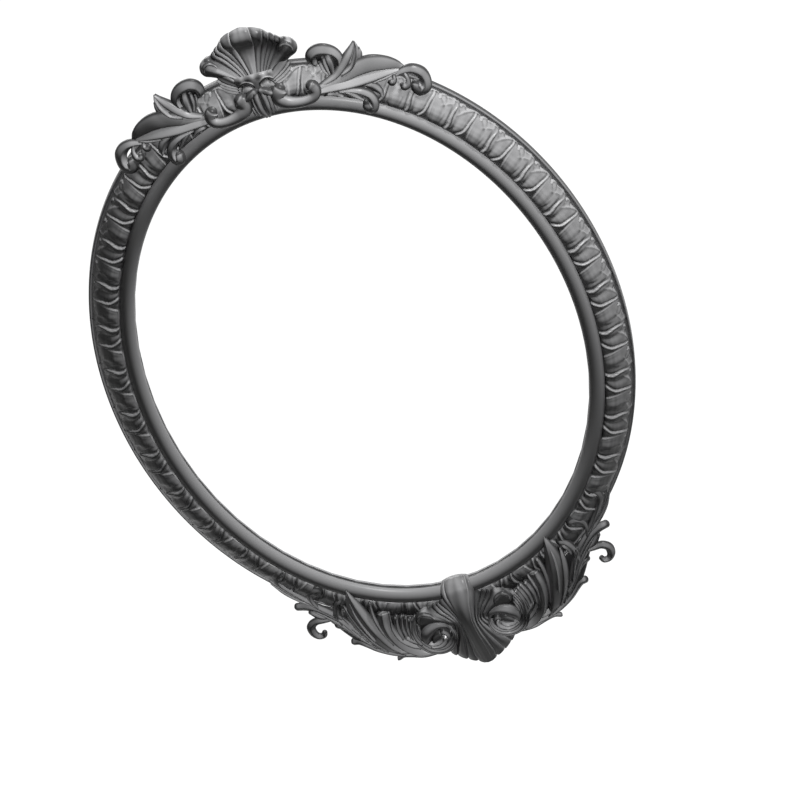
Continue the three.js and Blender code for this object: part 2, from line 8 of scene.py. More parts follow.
# %% Load the solid model
import math
from collections import namedtuple
import bpy
import numpy as np
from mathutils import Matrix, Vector


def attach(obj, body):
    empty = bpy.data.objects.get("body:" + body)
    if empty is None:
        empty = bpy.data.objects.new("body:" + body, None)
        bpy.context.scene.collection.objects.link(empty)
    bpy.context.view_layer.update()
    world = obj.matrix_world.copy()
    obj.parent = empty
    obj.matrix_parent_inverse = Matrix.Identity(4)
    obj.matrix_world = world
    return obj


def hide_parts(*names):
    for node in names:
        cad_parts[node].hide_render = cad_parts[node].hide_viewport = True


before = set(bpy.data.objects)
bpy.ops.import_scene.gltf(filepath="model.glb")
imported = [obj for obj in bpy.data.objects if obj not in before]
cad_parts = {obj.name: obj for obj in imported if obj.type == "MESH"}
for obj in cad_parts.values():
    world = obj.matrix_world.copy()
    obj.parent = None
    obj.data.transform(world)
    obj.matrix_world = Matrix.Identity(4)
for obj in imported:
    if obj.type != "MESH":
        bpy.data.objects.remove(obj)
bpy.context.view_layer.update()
MM = 0.001
SIDES = ("right", "left")
print("solid nodes:", len(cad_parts))

# %% [markdown]
# ## The camera
# The photograph has almost no perspective, so an orthographic camera fits it. It stands 12 degrees to
# the right and 32 degrees above the frame, and is rolled, which is why the oval leans. Three axes say
# all of that at once. The pixel where the oval's centre falls sets the rest.

# %% Camera
PICTURE_SIDE = 800
OVAL_CENTRE = Vector((0, -0.032, -0.3275))
VIEW_RIGHT = Vector((0.94989, 0.00421, -0.31255))
VIEW_DOWN = Vector((-0.25627, -0.56205, -0.78640))
VIEW_FORWARD = Vector((-0.17898, 0.82709, -0.53280))
PIXELS_PER_METRE = 982.44
CENTRE_PIXEL = (362.105, 350.325)
CAMERA_DISTANCE, CAMERA_REACH = 3.0, 20


def add_camera():
    camera = bpy.data.objects.new("camera", bpy.data.cameras.new("camera"))
    bpy.context.scene.collection.objects.link(camera)
    camera.data.type = "ORTHO"
    camera.data.ortho_scale = PICTURE_SIDE / PIXELS_PER_METRE
    right = (PICTURE_SIDE / 2 - CENTRE_PIXEL[0]) / PIXELS_PER_METRE
    down = (PICTURE_SIDE / 2 - CENTRE_PIXEL[1]) / PIXELS_PER_METRE
    place = OVAL_CENTRE + right * VIEW_RIGHT + down * VIEW_DOWN - CAMERA_DISTANCE * VIEW_FORWARD
    columns = [VIEW_RIGHT, -VIEW_DOWN, -VIEW_FORWARD, place]
    for c, column in enumerate(columns):
        for r in range(3):
            camera.matrix_world[r][c] = column[r]
    camera.data.clip_end = CAMERA_REACH
    bpy.context.scene.camera = camera
    return camera


camera = add_camera()
print("camera at", [round(v, 3) for v in camera.matrix_world.translation])

# %% [markdown]
# ## Shared finish effects and painted shade
# Shade is painted into the cuts of the carved paint, so it is darker there. Its high edges are painted a
# little lighter, as rubbed wear and as a painted highlight, and the paint is never quite even. Each of
# those effects is a node group with its own inputs, so that every material can place it with its own
# values. The carving code stores how hollow or proud each point is, and how deep it lies in painted shade,
# in an attribute called hollow, because the painted shade and the wear follow the shape and not the camera.

# %% Node group helpers


def new_group(name, inputs, outputs):
    group = bpy.data.node_groups.new(name, "ShaderNodeTree")
    for label, kind, value in inputs:
        made = group.interface.new_socket(label, in_out="INPUT", socket_type=kind)
        made.default_value = value
    for label, kind in outputs:
        group.interface.new_socket(label, in_out="OUTPUT", socket_type=kind)
    start = group.nodes.new("NodeGroupInput")
    end = group.nodes.new("NodeGroupOutput")
    return group, start, end


def wire(tree, source, target):
    """Links an output to an input, or writes a plain value into it."""
    if isinstance(source, bpy.types.NodeSocket):
        tree.links.new(source, target)
    else:
        target.default_value = source


def math_node(tree, operation, *values, clamp=False):
    node = tree.nodes.new("ShaderNodeMath")
    node.operation = operation
    node.use_clamp = clamp
    for socket, value in zip(node.inputs, values):
        wire(tree, value, socket)
    return node.outputs[0]


def noise_node(tree, scale, detail, where=None):
    node = tree.nodes.new("ShaderNodeTexNoise")
    wire(tree, scale, node.inputs["Scale"])
    wire(tree, detail, node.inputs["Detail"])
    if where is not None:
        wire(tree, where, node.inputs["Vector"])
    return node.outputs["Fac"]


def mix_colours(tree, share, first, second):
    node = tree.nodes.new("ShaderNodeMix")
    node.data_type = "RGBA"
    wire(tree, share, node.inputs["Factor"])
    for key, value in (("A", first), ("B", second)):
        socket = [s for s in node.inputs if s.name == key and s.type == "RGBA"][0]
        wire(tree, value, socket)
    return [s for s in node.outputs if s.type == "RGBA"][0]


# %% Group: fine grain
CLOUD_SCALE, CLOUD_DETAIL = 14.0, 3.0


def grain_group():
    """A fine streak along one direction of the piece, as fibres or brush marks have, and a broad cloud."""
    group, start, end = new_group(
        "fine grain",
        [
            ("Stretch", "NodeSocketVector", (1, 1, 1)),
            ("Scale", "NodeSocketFloat", 100.0),
            ("Detail", "NodeSocketFloat", 4.0),
        ],
        [("Streak", "NodeSocketFloat"), ("Cloud", "NodeSocketFloat")],
    )
    where = group.nodes.new("ShaderNodeTexCoord")
    stretch = group.nodes.new("ShaderNodeVectorMath")
    stretch.operation = "MULTIPLY"
    wire(group, where.outputs["Object"], stretch.inputs[0])
    wire(group, start.outputs["Stretch"], stretch.inputs[1])
    streak = noise_node(group, start.outputs["Scale"], start.outputs["Detail"], stretch.outputs[0])
    cloud = noise_node(group, CLOUD_SCALE, CLOUD_DETAIL, where.outputs["Object"])
    wire(group, streak, end.inputs["Streak"])
    wire(group, cloud, end.inputs["Cloud"])
    return group


FINE_GRAIN = grain_group()

# %% Group: rubbed edges, and painted shade in the hollows
SPECKLE_SCALE, SPECKLE_DETAIL = 90.0, 5.0
SPECKLE_GAIN, SPECKLE_SHIFT = 1.2, -0.1


def rub_and_shade_group():
    """Darkens a colour with painted shade where the carving is hollow, and lightens it where it is
    proud, as rubbed wear and a painted highlight.
    """
    group, start, end = new_group(
        "rubbed and filled",
        [
            ("Colour", "NodeSocketColor", (0.2, 0.2, 0.2, 1)),
            ("Rubbed Colour", "NodeSocketColor", (0.4, 0.4, 0.4, 1)),
            ("Hollow Colour", "NodeSocketColor", (0.05, 0.05, 0.05, 1)),
            ("Rub", "NodeSocketFloat", 0.4),
            ("Fill", "NodeSocketFloat", 0.6),
        ],
        [("Colour", "NodeSocketColor")],
    )
    hollow = group.nodes.new("ShaderNodeAttribute")
    hollow.attribute_name = "hollow"
    value = hollow.outputs["Fac"]
    speckle = noise_node(group, SPECKLE_SCALE, SPECKLE_DETAIL)
    uneven = math_node(group, "MULTIPLY_ADD", speckle, SPECKLE_GAIN, SPECKLE_SHIFT)
    # Proud places get lighter paint, as rubbed wear and a painted highlight; hollow places get painted shade
    proud = math_node(group, "MULTIPLY", math_node(group, "MULTIPLY", value, -1.0), uneven, clamp=True)
    sunk = math_node(group, "MAXIMUM", value, 0.0, clamp=True)
    rub = math_node(group, "MULTIPLY", proud, start.outputs["Rub"], clamp=True)
    # fill is how strongly the painted shade lays the hollow colour on
    fill = math_node(group, "MULTIPLY", sunk, start.outputs["Fill"], clamp=True)
    rubbed = mix_colours(group, rub, start.outputs["Colour"], start.outputs["Rubbed Colour"])
    painted_shade_colour = mix_colours(group, fill, rubbed, start.outputs["Hollow Colour"])
    wire(group, painted_shade_colour, end.inputs["Colour"])
    return group


RUB_AND_SHADE = rub_and_shade_group()
print("node groups:", [g.name for g in bpy.data.node_groups])

# %% [markdown]
# ## The finishes
# Four finishes cover the object. The paint is satin, so its roughness is middling and changes a little
# from place to place. The back is bare sawn wood, the small hardware is zinc plated steel and the wall
# pads are felt. All are built in one way: a base colour that the groups vary, a roughness and a fine
# bump.

# %% Material helpers


def new_material(name, roughness, metallic=0.0, gloss=0.5):
    material = bpy.data.materials.new(name)
    material.use_nodes = True
    shader = material.node_tree.nodes["Principled BSDF"]
    shader.inputs["Roughness"].default_value = roughness
    shader.inputs["Metallic"].default_value = metallic
    shader.inputs["Specular IOR Level"].default_value = gloss
    return material, material.node_tree, shader


def place_group(tree, group, **values):
    node = tree.nodes.new("ShaderNodeGroup")
    node.node_tree = group
    for key, value in values.items():
        node.inputs[key.replace("_", " ")].default_value = value
    return node


def add_bump(tree, shader, height, distance, strength):
    bump = tree.nodes.new("ShaderNodeBump")
    bump.inputs["Distance"].default_value = distance
    bump.inputs["Strength"].default_value = strength
    wire(tree, height, bump.inputs["Height"])
    wire(tree, bump.outputs["Normal"], shader.inputs["Normal"])


def roughness_from(tree, shader, value, middle, swing):
    varied = math_node(tree, "MULTIPLY_ADD", value, swing, middle - swing / 2)
    wire(tree, varied, shader.inputs["Roughness"])


# %% Satin paint over carving
PAINT = (0.29, 0.29, 0.293, 1)
PAINT_DARKER = (0.26, 0.26, 0.265, 1)
# Lighter paint on proud edges, as rubbed wear and a painted highlight, and near black painted shade in the
# hollows
PAINT_RUBBED_AND_HIGHLIT = (0.4, 0.4, 0.4, 1)
PAINTED_HOLLOW_SHADE = (0.014, 0.014, 0.0145, 1)
PAINT_GLOSS = 0.1


def paint_material():
    material, tree, shader = new_material("carved_paint", 0.34, gloss=PAINT_GLOSS)
    grain = place_group(tree, FINE_GRAIN, Stretch=(1, 1, 1), Scale=260.0, Detail=3.0)
    # The hollows and lobe edges take painted shade, and proud edges take lighter paint as wear and highlight
    rub = place_group(tree, RUB_AND_SHADE, Rub=0.3, Fill=0.9, Rubbed_Colour=PAINT_RUBBED_AND_HIGHLIT,
                      Hollow_Colour=PAINTED_HOLLOW_SHADE)
    base = mix_colours(tree, grain.outputs["Cloud"], PAINT_DARKER, PAINT)
    wire(tree, base, rub.inputs["Colour"])
    wire(tree, rub.outputs["Colour"], shader.inputs["Base Color"])
    roughness_from(tree, shader, grain.outputs["Cloud"], 0.31, 0.08)
    add_bump(tree, shader, grain.outputs["Streak"], 0.0001, 0.15)
    return material


CARVED_PAINT = paint_material()

# %% [markdown]
# Sawn wood shows long fibres along each board. The rim is four boards mitred round the oval, so the
# fibres are stretched along a direction that belongs to each board: level on the top and bottom ones,
# upright at the sides. The paint runs over the walls of the boards and stops at the back, so a depth
# mixes the two.

# %% Bare wood
WOOD_LIGHT = (0.36, 0.235, 0.135, 1)
WOOD_DARK = (0.2, 0.12, 0.065, 1)
PAINT_STOPS, BRUSH_WOBBLE = -0.0067, 0.0005
WOBBLE_SCALE, WOBBLE_DETAIL = 60.0, 2.0
FIBRE_RAMP = ((0.32, WOOD_DARK), (0.68, WOOD_LIGHT))
CLOUD_SHARE = 0.5


def painted_walls(tree):
    """1 on the painted walls and front of a board, 0 on its bare back, with a slightly uneven brush line."""
    where = tree.nodes.new("ShaderNodeTexCoord")
    parts = tree.nodes.new("ShaderNodeSeparateXYZ")
    wire(tree, where.outputs["Object"], parts.inputs[0])
    wobble = noise_node(tree, WOBBLE_SCALE, WOBBLE_DETAIL)
    edge = math_node(tree, "MULTIPLY_ADD", wobble, BRUSH_WOBBLE, PAINT_STOPS)
    return math_node(tree, "LESS_THAN", parts.outputs["Y"], edge)


def wood_material(name, stretch):
    material, tree, shader = new_material(name, 0.6, gloss=PAINT_GLOSS)
    grain = place_group(tree, FINE_GRAIN, Stretch=stretch, Scale=150.0, Detail=6.0)
    ramp = tree.nodes.new("ShaderNodeValToRGB")
    for element, (position, colour) in zip(ramp.color_ramp.elements, FIBRE_RAMP):
        element.position = position
        element.color = colour
    wire(tree, grain.outputs["Streak"], ramp.inputs["Fac"])
    cloud = math_node(tree, "MULTIPLY", grain.outputs["Cloud"], CLOUD_SHARE)
    shade = mix_colours(tree, cloud, ramp.outputs["Color"], WOOD_LIGHT)
    paint = mix_colours(tree, grain.outputs["Cloud"], PAINT_DARKER, PAINT)
    wire(tree, mix_colours(tree, painted_walls(tree), shade, paint), shader.inputs["Base Color"])
    roughness_from(tree, shader, grain.outputs["Streak"], 0.6, 0.2)
    add_bump(tree, shader, grain.outputs["Streak"], 0.0003, 0.4)
    return material


WOOD_LEVEL = wood_material("raw_wood_level", (0.07, 1, 1))
WOOD_UPRIGHT = wood_material("raw_wood_upright", (1, 1, 0.07))


def finish_nodes(material, names):
    """Gives solid nodes that stay as they are a material of this lesson."""
    for name in names:
        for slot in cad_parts[name].material_slots:
            slot.material = material


FOUR = range(1, 5)
finish_nodes(WOOD_LEVEL, ["rim_segment_top", "rim_segment_bottom"])
finish_nodes(WOOD_LEVEL, [f"joint_tongue_{n}" for n in FOUR])
finish_nodes(WOOD_UPRIGHT, [f"rim_segment_{side}" for side in SIDES])

# %% [markdown]
# Zinc plated steel is a pale metal with a faint brushed streak and a cloudy gloss. Felt is nearly
# black, very rough, and has a soft fibre bump.

# %% Steel and felt
STEEL_LIGHT = (0.62, 0.63, 0.64, 1)
STEEL_DARK = (0.42, 0.43, 0.45, 1)
FELT_LIGHT = (0.03, 0.03, 0.033, 1)
FELT_DARK = (0.012, 0.012, 0.013, 1)


def steel_material():
    material, tree, shader = new_material("zinc_steel", 0.34, metallic=1.0)
    grain = place_group(tree, FINE_GRAIN, Stretch=(1, 1, 0.1), Scale=900.0, Detail=2.0)
    colour = mix_colours(tree, grain.outputs["Cloud"], STEEL_DARK, STEEL_LIGHT)
    wire(tree, colour, shader.inputs["Base Color"])
    roughness_from(tree, shader, grain.outputs["Streak"], 0.34, 0.22)
    add_bump(tree, shader, grain.outputs["Streak"], 0.00005, 0.3)
    return material


def felt_material():
    material, tree, shader = new_material("felt_pad", 0.95)
    grain = place_group(tree, FINE_GRAIN, Stretch=(1, 1, 1), Scale=1400.0, Detail=4.0)
    colour = mix_colours(tree, grain.outputs["Streak"], FELT_DARK, FELT_LIGHT)
    wire(tree, colour, shader.inputs["Base Color"])
    add_bump(tree, shader, grain.outputs["Streak"], 0.0004, 0.8)
    return material


ZINC_STEEL = steel_material()
FELT_PAD = felt_material()
for part in ("strap", "ring", "screw"):
    finish_nodes(ZINC_STEEL, [f"hanger_{part}_{side}" for side in SIDES])
for part in ("turn_button", "button_screw"):
    finish_nodes(ZINC_STEEL, [f"{part}_{n}" for n in FOUR])
finish_nodes(FELT_PAD, [f"wall_bumper_{place}" for place in ("top", *SIDES)])
print("materials:", [m.name for m in (CARVED_PAINT, WOOD_LEVEL, WOOD_UPRIGHT, ZINC_STEEL, FELT_PAD)])

# %% [markdown]
# ## Sheets of points
# Every carved piece is one or more sheets: rows of points joined into quads. A tube is a sheet whose
# last column joins its first. Building meshes from sheets keeps the code short and the surface even,
# and each point can carry its hollow value.

# %% Sheet helpers
# Points in millimetres, and whether the last column joins the first. A sheet may also say which way each of
# its points faces, and how deep in painted shade each of them lies.
Sheet = namedtuple("Sheet", "points wrap away sunk", defaults=(None, 0))
# How strongly the bend of a surface turns into painted shade in hollows and lighter paint on proud edges
HOLLOW_GAIN = 2.8
TINY = 1e-9


def sheet_faces(rows, columns, wrap, start):
    across = columns if wrap else columns - 1
    r, c = np.meshgrid(np.arange(rows - 1), np.arange(across), indexing="ij")
    a = r * columns + c
    b = r * columns + (c + 1) % columns
    quads = np.stack([a, b, b + columns, a + columns], axis=-1).reshape(-1, 4)
    return quads + start


def cavity(points, wrap):
    """How hollow each point is, below 0 where proud and above 0 where sunk, from the bend beside it."""
    along = np.zeros_like(points)
    along[1:-1] = points[2:] + points[:-2] - 2 * points[1:-1]
    if wrap:
        across = np.roll(points, -1, 1) + np.roll(points, 1, 1) - 2 * points
    else:
        across = np.zeros_like(points)
        across[:, 1:-1] = points[:, 2:] + points[:, :-2] - 2 * points[:, 1:-1]
    step_a = np.gradient(points, axis=0)
    step_b = np.gradient(points, axis=1)
    normal = np.cross(step_a, step_b)
    normal /= np.linalg.norm(normal, axis=-1, keepdims=True) + TINY
    bend = ((along + across) * normal).sum(-1)
    size = 0.5 * (np.linalg.norm(step_a, axis=-1) + np.linalg.norm(step_b, axis=-1)) + TINY
    return bend / size


def evened(values, wrap):
    """Blurs a value over neighbouring points twice, so that it shows a crease and not single points."""
    for _ in range(2):
        inside = values[1:-1]
        values = np.concatenate([values[:1], 0.5 * inside + 0.25 * (values[2:] + values[:-2]), values[-1:]])
        if wrap:
            values = 0.5 * values + 0.25 * (np.roll(values, 1, 1) + np.roll(values, -1, 1))
        else:
            middle = 0.5 * values[:, 1:-1] + 0.25 * (values[:, 2:] + values[:, :-2])
            values = np.concatenate([values[:, :1], middle, values[:, -1:]], axis=1)
    return values


def faces_and_hollows(sheet, start):
    """The quads of a sheet, turned outwards, and how hollow each of its points is, with its painted shade.
    """
    points, wrap, away, sunk = sheet
    quads = sheet_faces(*points.shape[:2], wrap, start)
    if away is None:
        away = points - points.mean(axis=1, keepdims=True)
    normal = np.cross(np.gradient(points, axis=1), np.gradient(points, axis=0))
    bend = evened(cavity(points, wrap), wrap)
    if (normal * away).sum() > 0:
        quads = quads[:, ::-1]
    else:
        bend = -bend
    return quads, np.clip(bend * HOLLOW_GAIN + sunk, -1, 1).reshape(-1)


def build_piece(name, sheets, material):
    """Joins sheets into one mesh in metres, with smooth shading."""
    vertices, faces, hollows = [], [], []
    count = 0
    for sheet in sheets:
        quads, hollow = faces_and_hollows(sheet, count)
        vertices.append(sheet.points.reshape(-1, 3))
        faces.append(quads)
        hollows.append(hollow)
        count += len(vertices[-1])
    mesh = bpy.data.meshes.new(name)
    mesh.from_pydata((np.concatenate(vertices) * MM).tolist(), [], np.concatenate(faces).tolist())
    # The hollow attribute carries the painted shade and the lighter proud edges to the paint
    attribute = mesh.attributes.new("hollow", "FLOAT", "POINT")
    attribute.data.foreach_set("value", np.concatenate(hollows).astype(np.float32))
    mesh.materials.append(material)
    mesh.shade_smooth()
    mesh.update()
    piece = bpy.data.objects.new(name, mesh)
    bpy.context.scene.collection.objects.link(piece)
    return piece


def dress(piece, node):
    """The piece stands for a solid node of the frame's body and rides with it."""
    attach(piece, "frame")
    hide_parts(node)


def mirrored(points):
    return points * np.array([-1, 1, 1])


def on_side(points, side):
    """Points of the right side as they are, or mirrored for the left."""
    return points if side == "right" else mirrored(points)


# %% [markdown]
# ## The oval
# Everything is measured from the groove between bead and leaves. A place on the frame is an angle
# clockwise from the top, a distance out from that groove and a depth back from it, as in the solid
# model.

# %% Oval helpers
FRONT = np.array([0.0, -1.0, 0.0])
HALF_WIDTH = 238.0
HALF_HEIGHT = 317.5
CENTRE_Z = -327.5
GROOVE_Y = -32.0


def oval_points(angle, out, back):
    """Angles in degrees and distances in millimetres, as arrays that broadcast, to points in millimetres."""
    t = np.radians(np.asarray(angle, float))
    nx, nz = np.sin(t) / HALF_WIDTH, np.cos(t) / HALF_HEIGHT
    length = np.hypot(nx, nz)
    x = HALF_WIDTH * np.sin(t) + out * nx / length
    z = HALF_HEIGHT * np.cos(t) + out * nz / length + CENTRE_Z
    y = GROOVE_Y + back + 0 * t
    return np.stack(np.broadcast_arrays(x, y, z), axis=-1)


def sweep(section, angles):
    """A sheet from a section of (out, back) points carried round the oval."""
    section = np.array(section, float)
    return oval_points(np.asarray(angles)[:, None], section[None, :, 0], section[None, :, 1])


# Each half stops just short of the top and bottom, as the solid model's glued halves do
FIRST_ANGLE, LAST_ANGLE = 0.03, 179.97
HALF_TURN = np.linspace(FIRST_ANGLE, LAST_ANGLE, 300)

# %% [markdown]
# ## The round bead and the outer lip
# A plain bead is a half circle carried round the oval, with a flat back that is glued to the rim. The
# lip is a small step and a roll. Both halves of each keep the solid model's joints at the top and
# bottom. A sweep with many steps is enough here, because a plain moulding has no other detail.

# %% Bead and lip
BEAD_RADIUS, BEAD_OUT, BEAD_BACK = 8.1, -7.7, 3.3
BEAD_INNER, BEAD_OUTER = -15.8, 0.38
BEAD_FOOT, BEAD_WALL_TOP = 5.85, 4.6
BEAD_ARC = np.linspace(math.pi, -0.15, 26)
LIP_START, LIP_FOOT = 27.2, 26.9
# The face of the lip, as distances out past its start and depths
LIP_FACE = [(0, 21.5), (0.5, 21.35), (1.6, 21.3), (2.1, 21.05), (2.4, 20.5), (2.8, 20.08), (3.3, 19.95),
            (3.8, 20.25), (4.15, 20.9), (4.36, 21.8), (4.4, 22.6)]


def bead_section():
    arc = [(BEAD_OUT + BEAD_RADIUS * math.cos(a), BEAD_BACK - BEAD_RADIUS * math.sin(a)) for a in BEAD_ARC]
    return [(BEAD_INNER, BEAD_FOOT), (BEAD_INNER, BEAD_WALL_TOP), *arc, (BEAD_OUTER, BEAD_FOOT)]


def lip_section():
    face = [(LIP_START + out, back) for out, back in LIP_FACE]
    return [(LIP_START, LIP_FOOT), *face, (face[-1][0], LIP_FOOT)]


MOULDINGS = [("bead", "sight_bead", bead_section()), ("lip", "edge_lip", lip_section())]
for side in SIDES:
    for name, node, section in MOULDINGS:
        sheet = Sheet(on_side(sweep(section, HALF_TURN), side), True)
        piece = build_piece(f"{name}_{side}", [sheet], CARVED_PAINT)
        dress(piece, f"{node}_{side}")
        print(name, side, "points:", len(piece.data.vertices))

# %% [markdown]
# ## The leaf band
# Thirty eight leaf groups go round the band, nineteen a side, and both sides run down from the top.
# Each group has a three lobed leaf over a hollow stem, then a leaf that folds over into a sharp valley,
# and a broad smooth one. They overlap like shingles, so the surface is a height over the cushion: a
# list of seams, each with its place and its height at several distances out.

# %% Height of one leaf group
GROUPS_PER_SIDE = 19
GROUP_ANGLE = 180 / GROUPS_PER_SIDE
OUT_KEYS = [0.0, 2.0, 5.0, 9.0, 12.0, 16.0, 20.0, 24.0, 27.0]
NARROWEST_SEAM = 0.02
# A seam is its name, then its place at each key in degrees past the three lobed leaf, and its height in mm
SEAMS = [
    ("stem rim", [-0.15, -0.4, -0.92, -1.12, -0.86, -0.66, -0.56, -0.5, -0.5],
     [0.6, 0.6, 0.7, 0.7, 0.6, 0.6, 0.6, 0.4, 0.3]),
    ("stem foot", [0.0, -0.15, -0.6, -0.75, -0.52, -0.36, -0.28, -0.3, -0.3],
     [0.6, -0.3, -1.0, -1.1, -1.0, -0.8, -0.4, 0.2, 0.4]),
    ("stem floor", [0.05, 0.1, 0.1, 0.05, 0.15, 0.12, 0.1, 0.1, 0.1],
     [0.6, -0.2, -0.9, -1.0, -0.9, -0.8, -0.3, 0.6, 0.8]),
    ("stem crease", [0.14, 0.36, 0.5, 0.6, 0.52, 0.34, 0.38, 0.66, 0.84],
     [0.5, -0.4, -1.6, -1.7, -1.6, -1.5, -1.0, 0.3, 0.6]),
    ("fold rim", [0.34, 0.58, 0.74, 0.86, 0.76, 0.56, 0.6, 0.9, 1.1],
     [0.9, 1.2, 1.4, 1.4, 1.4, 1.3, 1.1, 0.6, 0.4]),
    ("fold face", [1.0, 1.1, 1.25, 1.36, 1.3, 1.2, 1.2, 1.3, 1.5],
     [0.3, 0.6, 0.9, 1.0, 1.0, 0.9, 0.7, 0.4, 0.3]),
    ("soft valley", [1.8, 1.85, 1.9, 2.0, 2.05, 2.1, 2.1, 2.1, 2.1],
     [-0.8, -0.8, -0.7, -0.5, -0.3, -0.1, 0.0, 0.1, 0.2]),
    ("fold back", [2.4, 2.5, 2.8, 3.1, 3.3, 3.4, 3.4, 3.5, 3.7],
     [-0.6, -0.4, 0.0, 0.3, 0.4, 0.5, 0.6, 0.6, 0.5]),
    ("valley brow", [2.72, 2.8, 3.1, 3.62, 3.88, 4.05, 4.2, 4.5, 4.7],
     [-0.5, -0.4, -0.2, 0.1, 0.3, 0.4, 0.5, 0.6, 0.5]),
    ("sharp valley", [2.95, 3.0, 3.32, 3.86, 4.08, 4.24, 4.4, 4.72, 4.9],
     [-0.8, -1.2, -1.5, -1.6, -1.6, -1.5, -1.2, -0.6, 0.0]),
    ("valley ridge", [3.35, 3.5, 3.8, 4.28, 4.5, 4.64, 4.76, 5.0, 5.12],
     [0.8, 1.0, 1.15, 1.15, 1.15, 1.1, 1.0, 0.8, 0.6]),
    ("flap face", [4.5, 4.55, 4.62, 4.75, 4.78, 4.82, 4.88, 5.05, 5.17],
     [0.0, 0.0, 0.1, 0.6, 0.9, 1.0, 1.0, 0.8, 0.6]),
    ("flap foot", [6.0, 5.75, 5.5, 5.25, 5.12, 5.02, 5.0, 5.12, 5.22],
     [-0.6, -0.8, -0.8, -0.5, 0.0, 0.4, 0.6, 0.6, 0.5]),
    ("broad rim", [6.25, 5.98, 5.72, 5.44, 5.3, 5.2, 5.16, 5.26, 5.32],
     [0.6, 0.6, 0.6, 0.6, 0.8, 0.9, 0.9, 0.7, 0.5]),
    ("broad shoulder", [6.7, 6.6, 6.4, 6.2, 6.05, 6.0, 5.95, 6.0, 6.0],
     [0.8, 0.9, 1.0, 1.1, 1.2, 1.1, 1.0, 0.7, 0.5]),
    ("broad crown", [7.4, 7.4, 7.4, 7.4, 7.4, 7.3, 7.2, 7.2, 7.2],
     [0.4, 0.9, 1.4, 1.7, 1.7, 1.5, 1.0, 0.5, 0.3]),
    ("broad back", [8.4, 8.3, 8.1, 8.05, 8.1, 8.1, 8.1, 8.0, 8.0],
     [0.5, 0.8, 1.2, 1.4, 1.3, 0.9, 0.5, 0.3, 0.4]),
]


def ease(s):
    """Goes from 0 to 1 with level ends while s does."""
    s = np.clip(s, 0, 1)
    return s * s * (3 - 2 * s)


def key_curve(values, out):
    """A smooth curve through values at the distances in OUT_KEYS."""
    keys = np.array(OUT_KEYS)
    values = np.array(values, float)
    slope = np.gradient(values, keys)
    i = np.clip(np.searchsorted(keys, out) - 1, 0, len(keys) - 2)
    span = keys[i + 1] - keys[i]
    s = np.clip((out - keys[i]) / span, 0, 1)
    a, b = 2 * s**3 - 3 * s**2 + 1, -2 * s**3 + 3 * s**2
    c, d = s**3 - 2 * s**2 + s, s**3 - s**2
    return a * values[i] + b * values[i + 1] + span * (c * slope[i] + d * slope[i + 1])


def group_height(past, out):
    """Height in mm at angles past the three lobed leaf (0 to GROUP_ANGLE) and distances out, both grids."""
    places = [key_curve(p, out) for _, p, _ in SEAMS]
    heights = [key_curve(h, out) for _, _, h in SEAMS]
    places.append(places[0] + GROUP_ANGLE)
    heights.append(heights[0])
    shifted = np.where(past < places[0], past + GROUP_ANGLE, past)
    result = heights[0].copy()
    for (p, h), (q, k) in zip(zip(places, heights), zip(places[1:], heights[1:])):
        inside = (shifted >= p) & (shifted <= q)
        share = ease((shifted - p) / np.maximum(q - p, NARROWEST_SEAM))
        result = np.where(inside, h + (k - h) * share, result)
    return result


# %% [markdown]
# The leaves end in an outline at the outer side: a point over each stem, small round lobes beside it,
# and the tip of the folded leaf. Past that outline the band drops to a plain flat. At the groove the
# leaf edges are undercut in the same way.

# %% Outlines of the leaf group
# Points (degrees past the three lobed leaf, distance out)
OUTER_OUTLINE = [(-3.3, 23.2), (-3.05, 25.2), (-2.6, 26.5), (-2.0, 26.6), (-1.75, 25.3), (-1.2, 25.9),
                 (-0.5, 26.7), (0.0, 27.4), (0.22, 28.3), (0.42, 27.2), (0.9, 26.0), (1.25, 24.6),
                 (1.45, 24.2), (1.65, 25.6), (2.1, 26.4), (2.55, 26.0), (2.8, 24.2), (3.0, 23.8),
                 (3.6, 25.0), (4.2, 25.8), (4.9, 26.4), (5.5, 26.2), (5.9, 25.4), (6.17, 23.2)]
INNER_OUTLINE = [(-3.3, 1.3), (-2.6, 1.1), (-1.6, 0.9), (-0.9, 0.6), (-0.35, 0.0), (0.45, 0.0), (0.62, 0.8),
                 (1.5, 1.0), (2.6, 0.9), (3.0, 0.6), (3.2, 0.0), (5.9, 0.0), (6.1, 0.9), (6.17, 1.3)]


def outline_at(outline, past):
    turned = np.where(past > outline[-1][0], past - GROUP_ANGLE, past)
    places, values = zip(*outline)
    return np.interp(turned, places, values)


# %% [markdown]
# Some leaf edges only lap over their neighbour for a short way and then melt into it. A lap is a line
# with a high side and a low side. The step is sharp on the line and dies away a few millimetres from
# it.

# %% Laps between leaves
MM_PER_DEGREE = 4.9
LAP_SOFTNESS = 0.35
LAP_TURNOVER = GROUP_ANGLE / 2 + 1.5
# A lap is its points (degrees past the three lobed leaf, distance out), its step in mm and its reach in mm
LAPS = [
    ([(-1.95, 20.9), (-1.35, 22.3), (-0.6, 23.3)], 0.55, 2.2),
    ([(1.95, 20.6), (2.4, 22.1), (2.9, 23.4), (3.9, 25.3), (4.9, 26.3)], 0.8, 3.4),
    ([(-2.95, 24.4), (-2.3, 22.6), (-1.9, 21.2)], 0.45, 2.0),
    ([(2.75, 25.6), (2.75, 24.0), (2.2, 22.6)], -0.45, 1.8),
    ([(-1.7, 25.4), (-1.5, 24.0), (-1.6, 22.6)], 0.4, 1.6),
    ([(1.4, 24.6), (1.35, 23.2), (1.8, 22.2)], 0.4, 1.6),
]


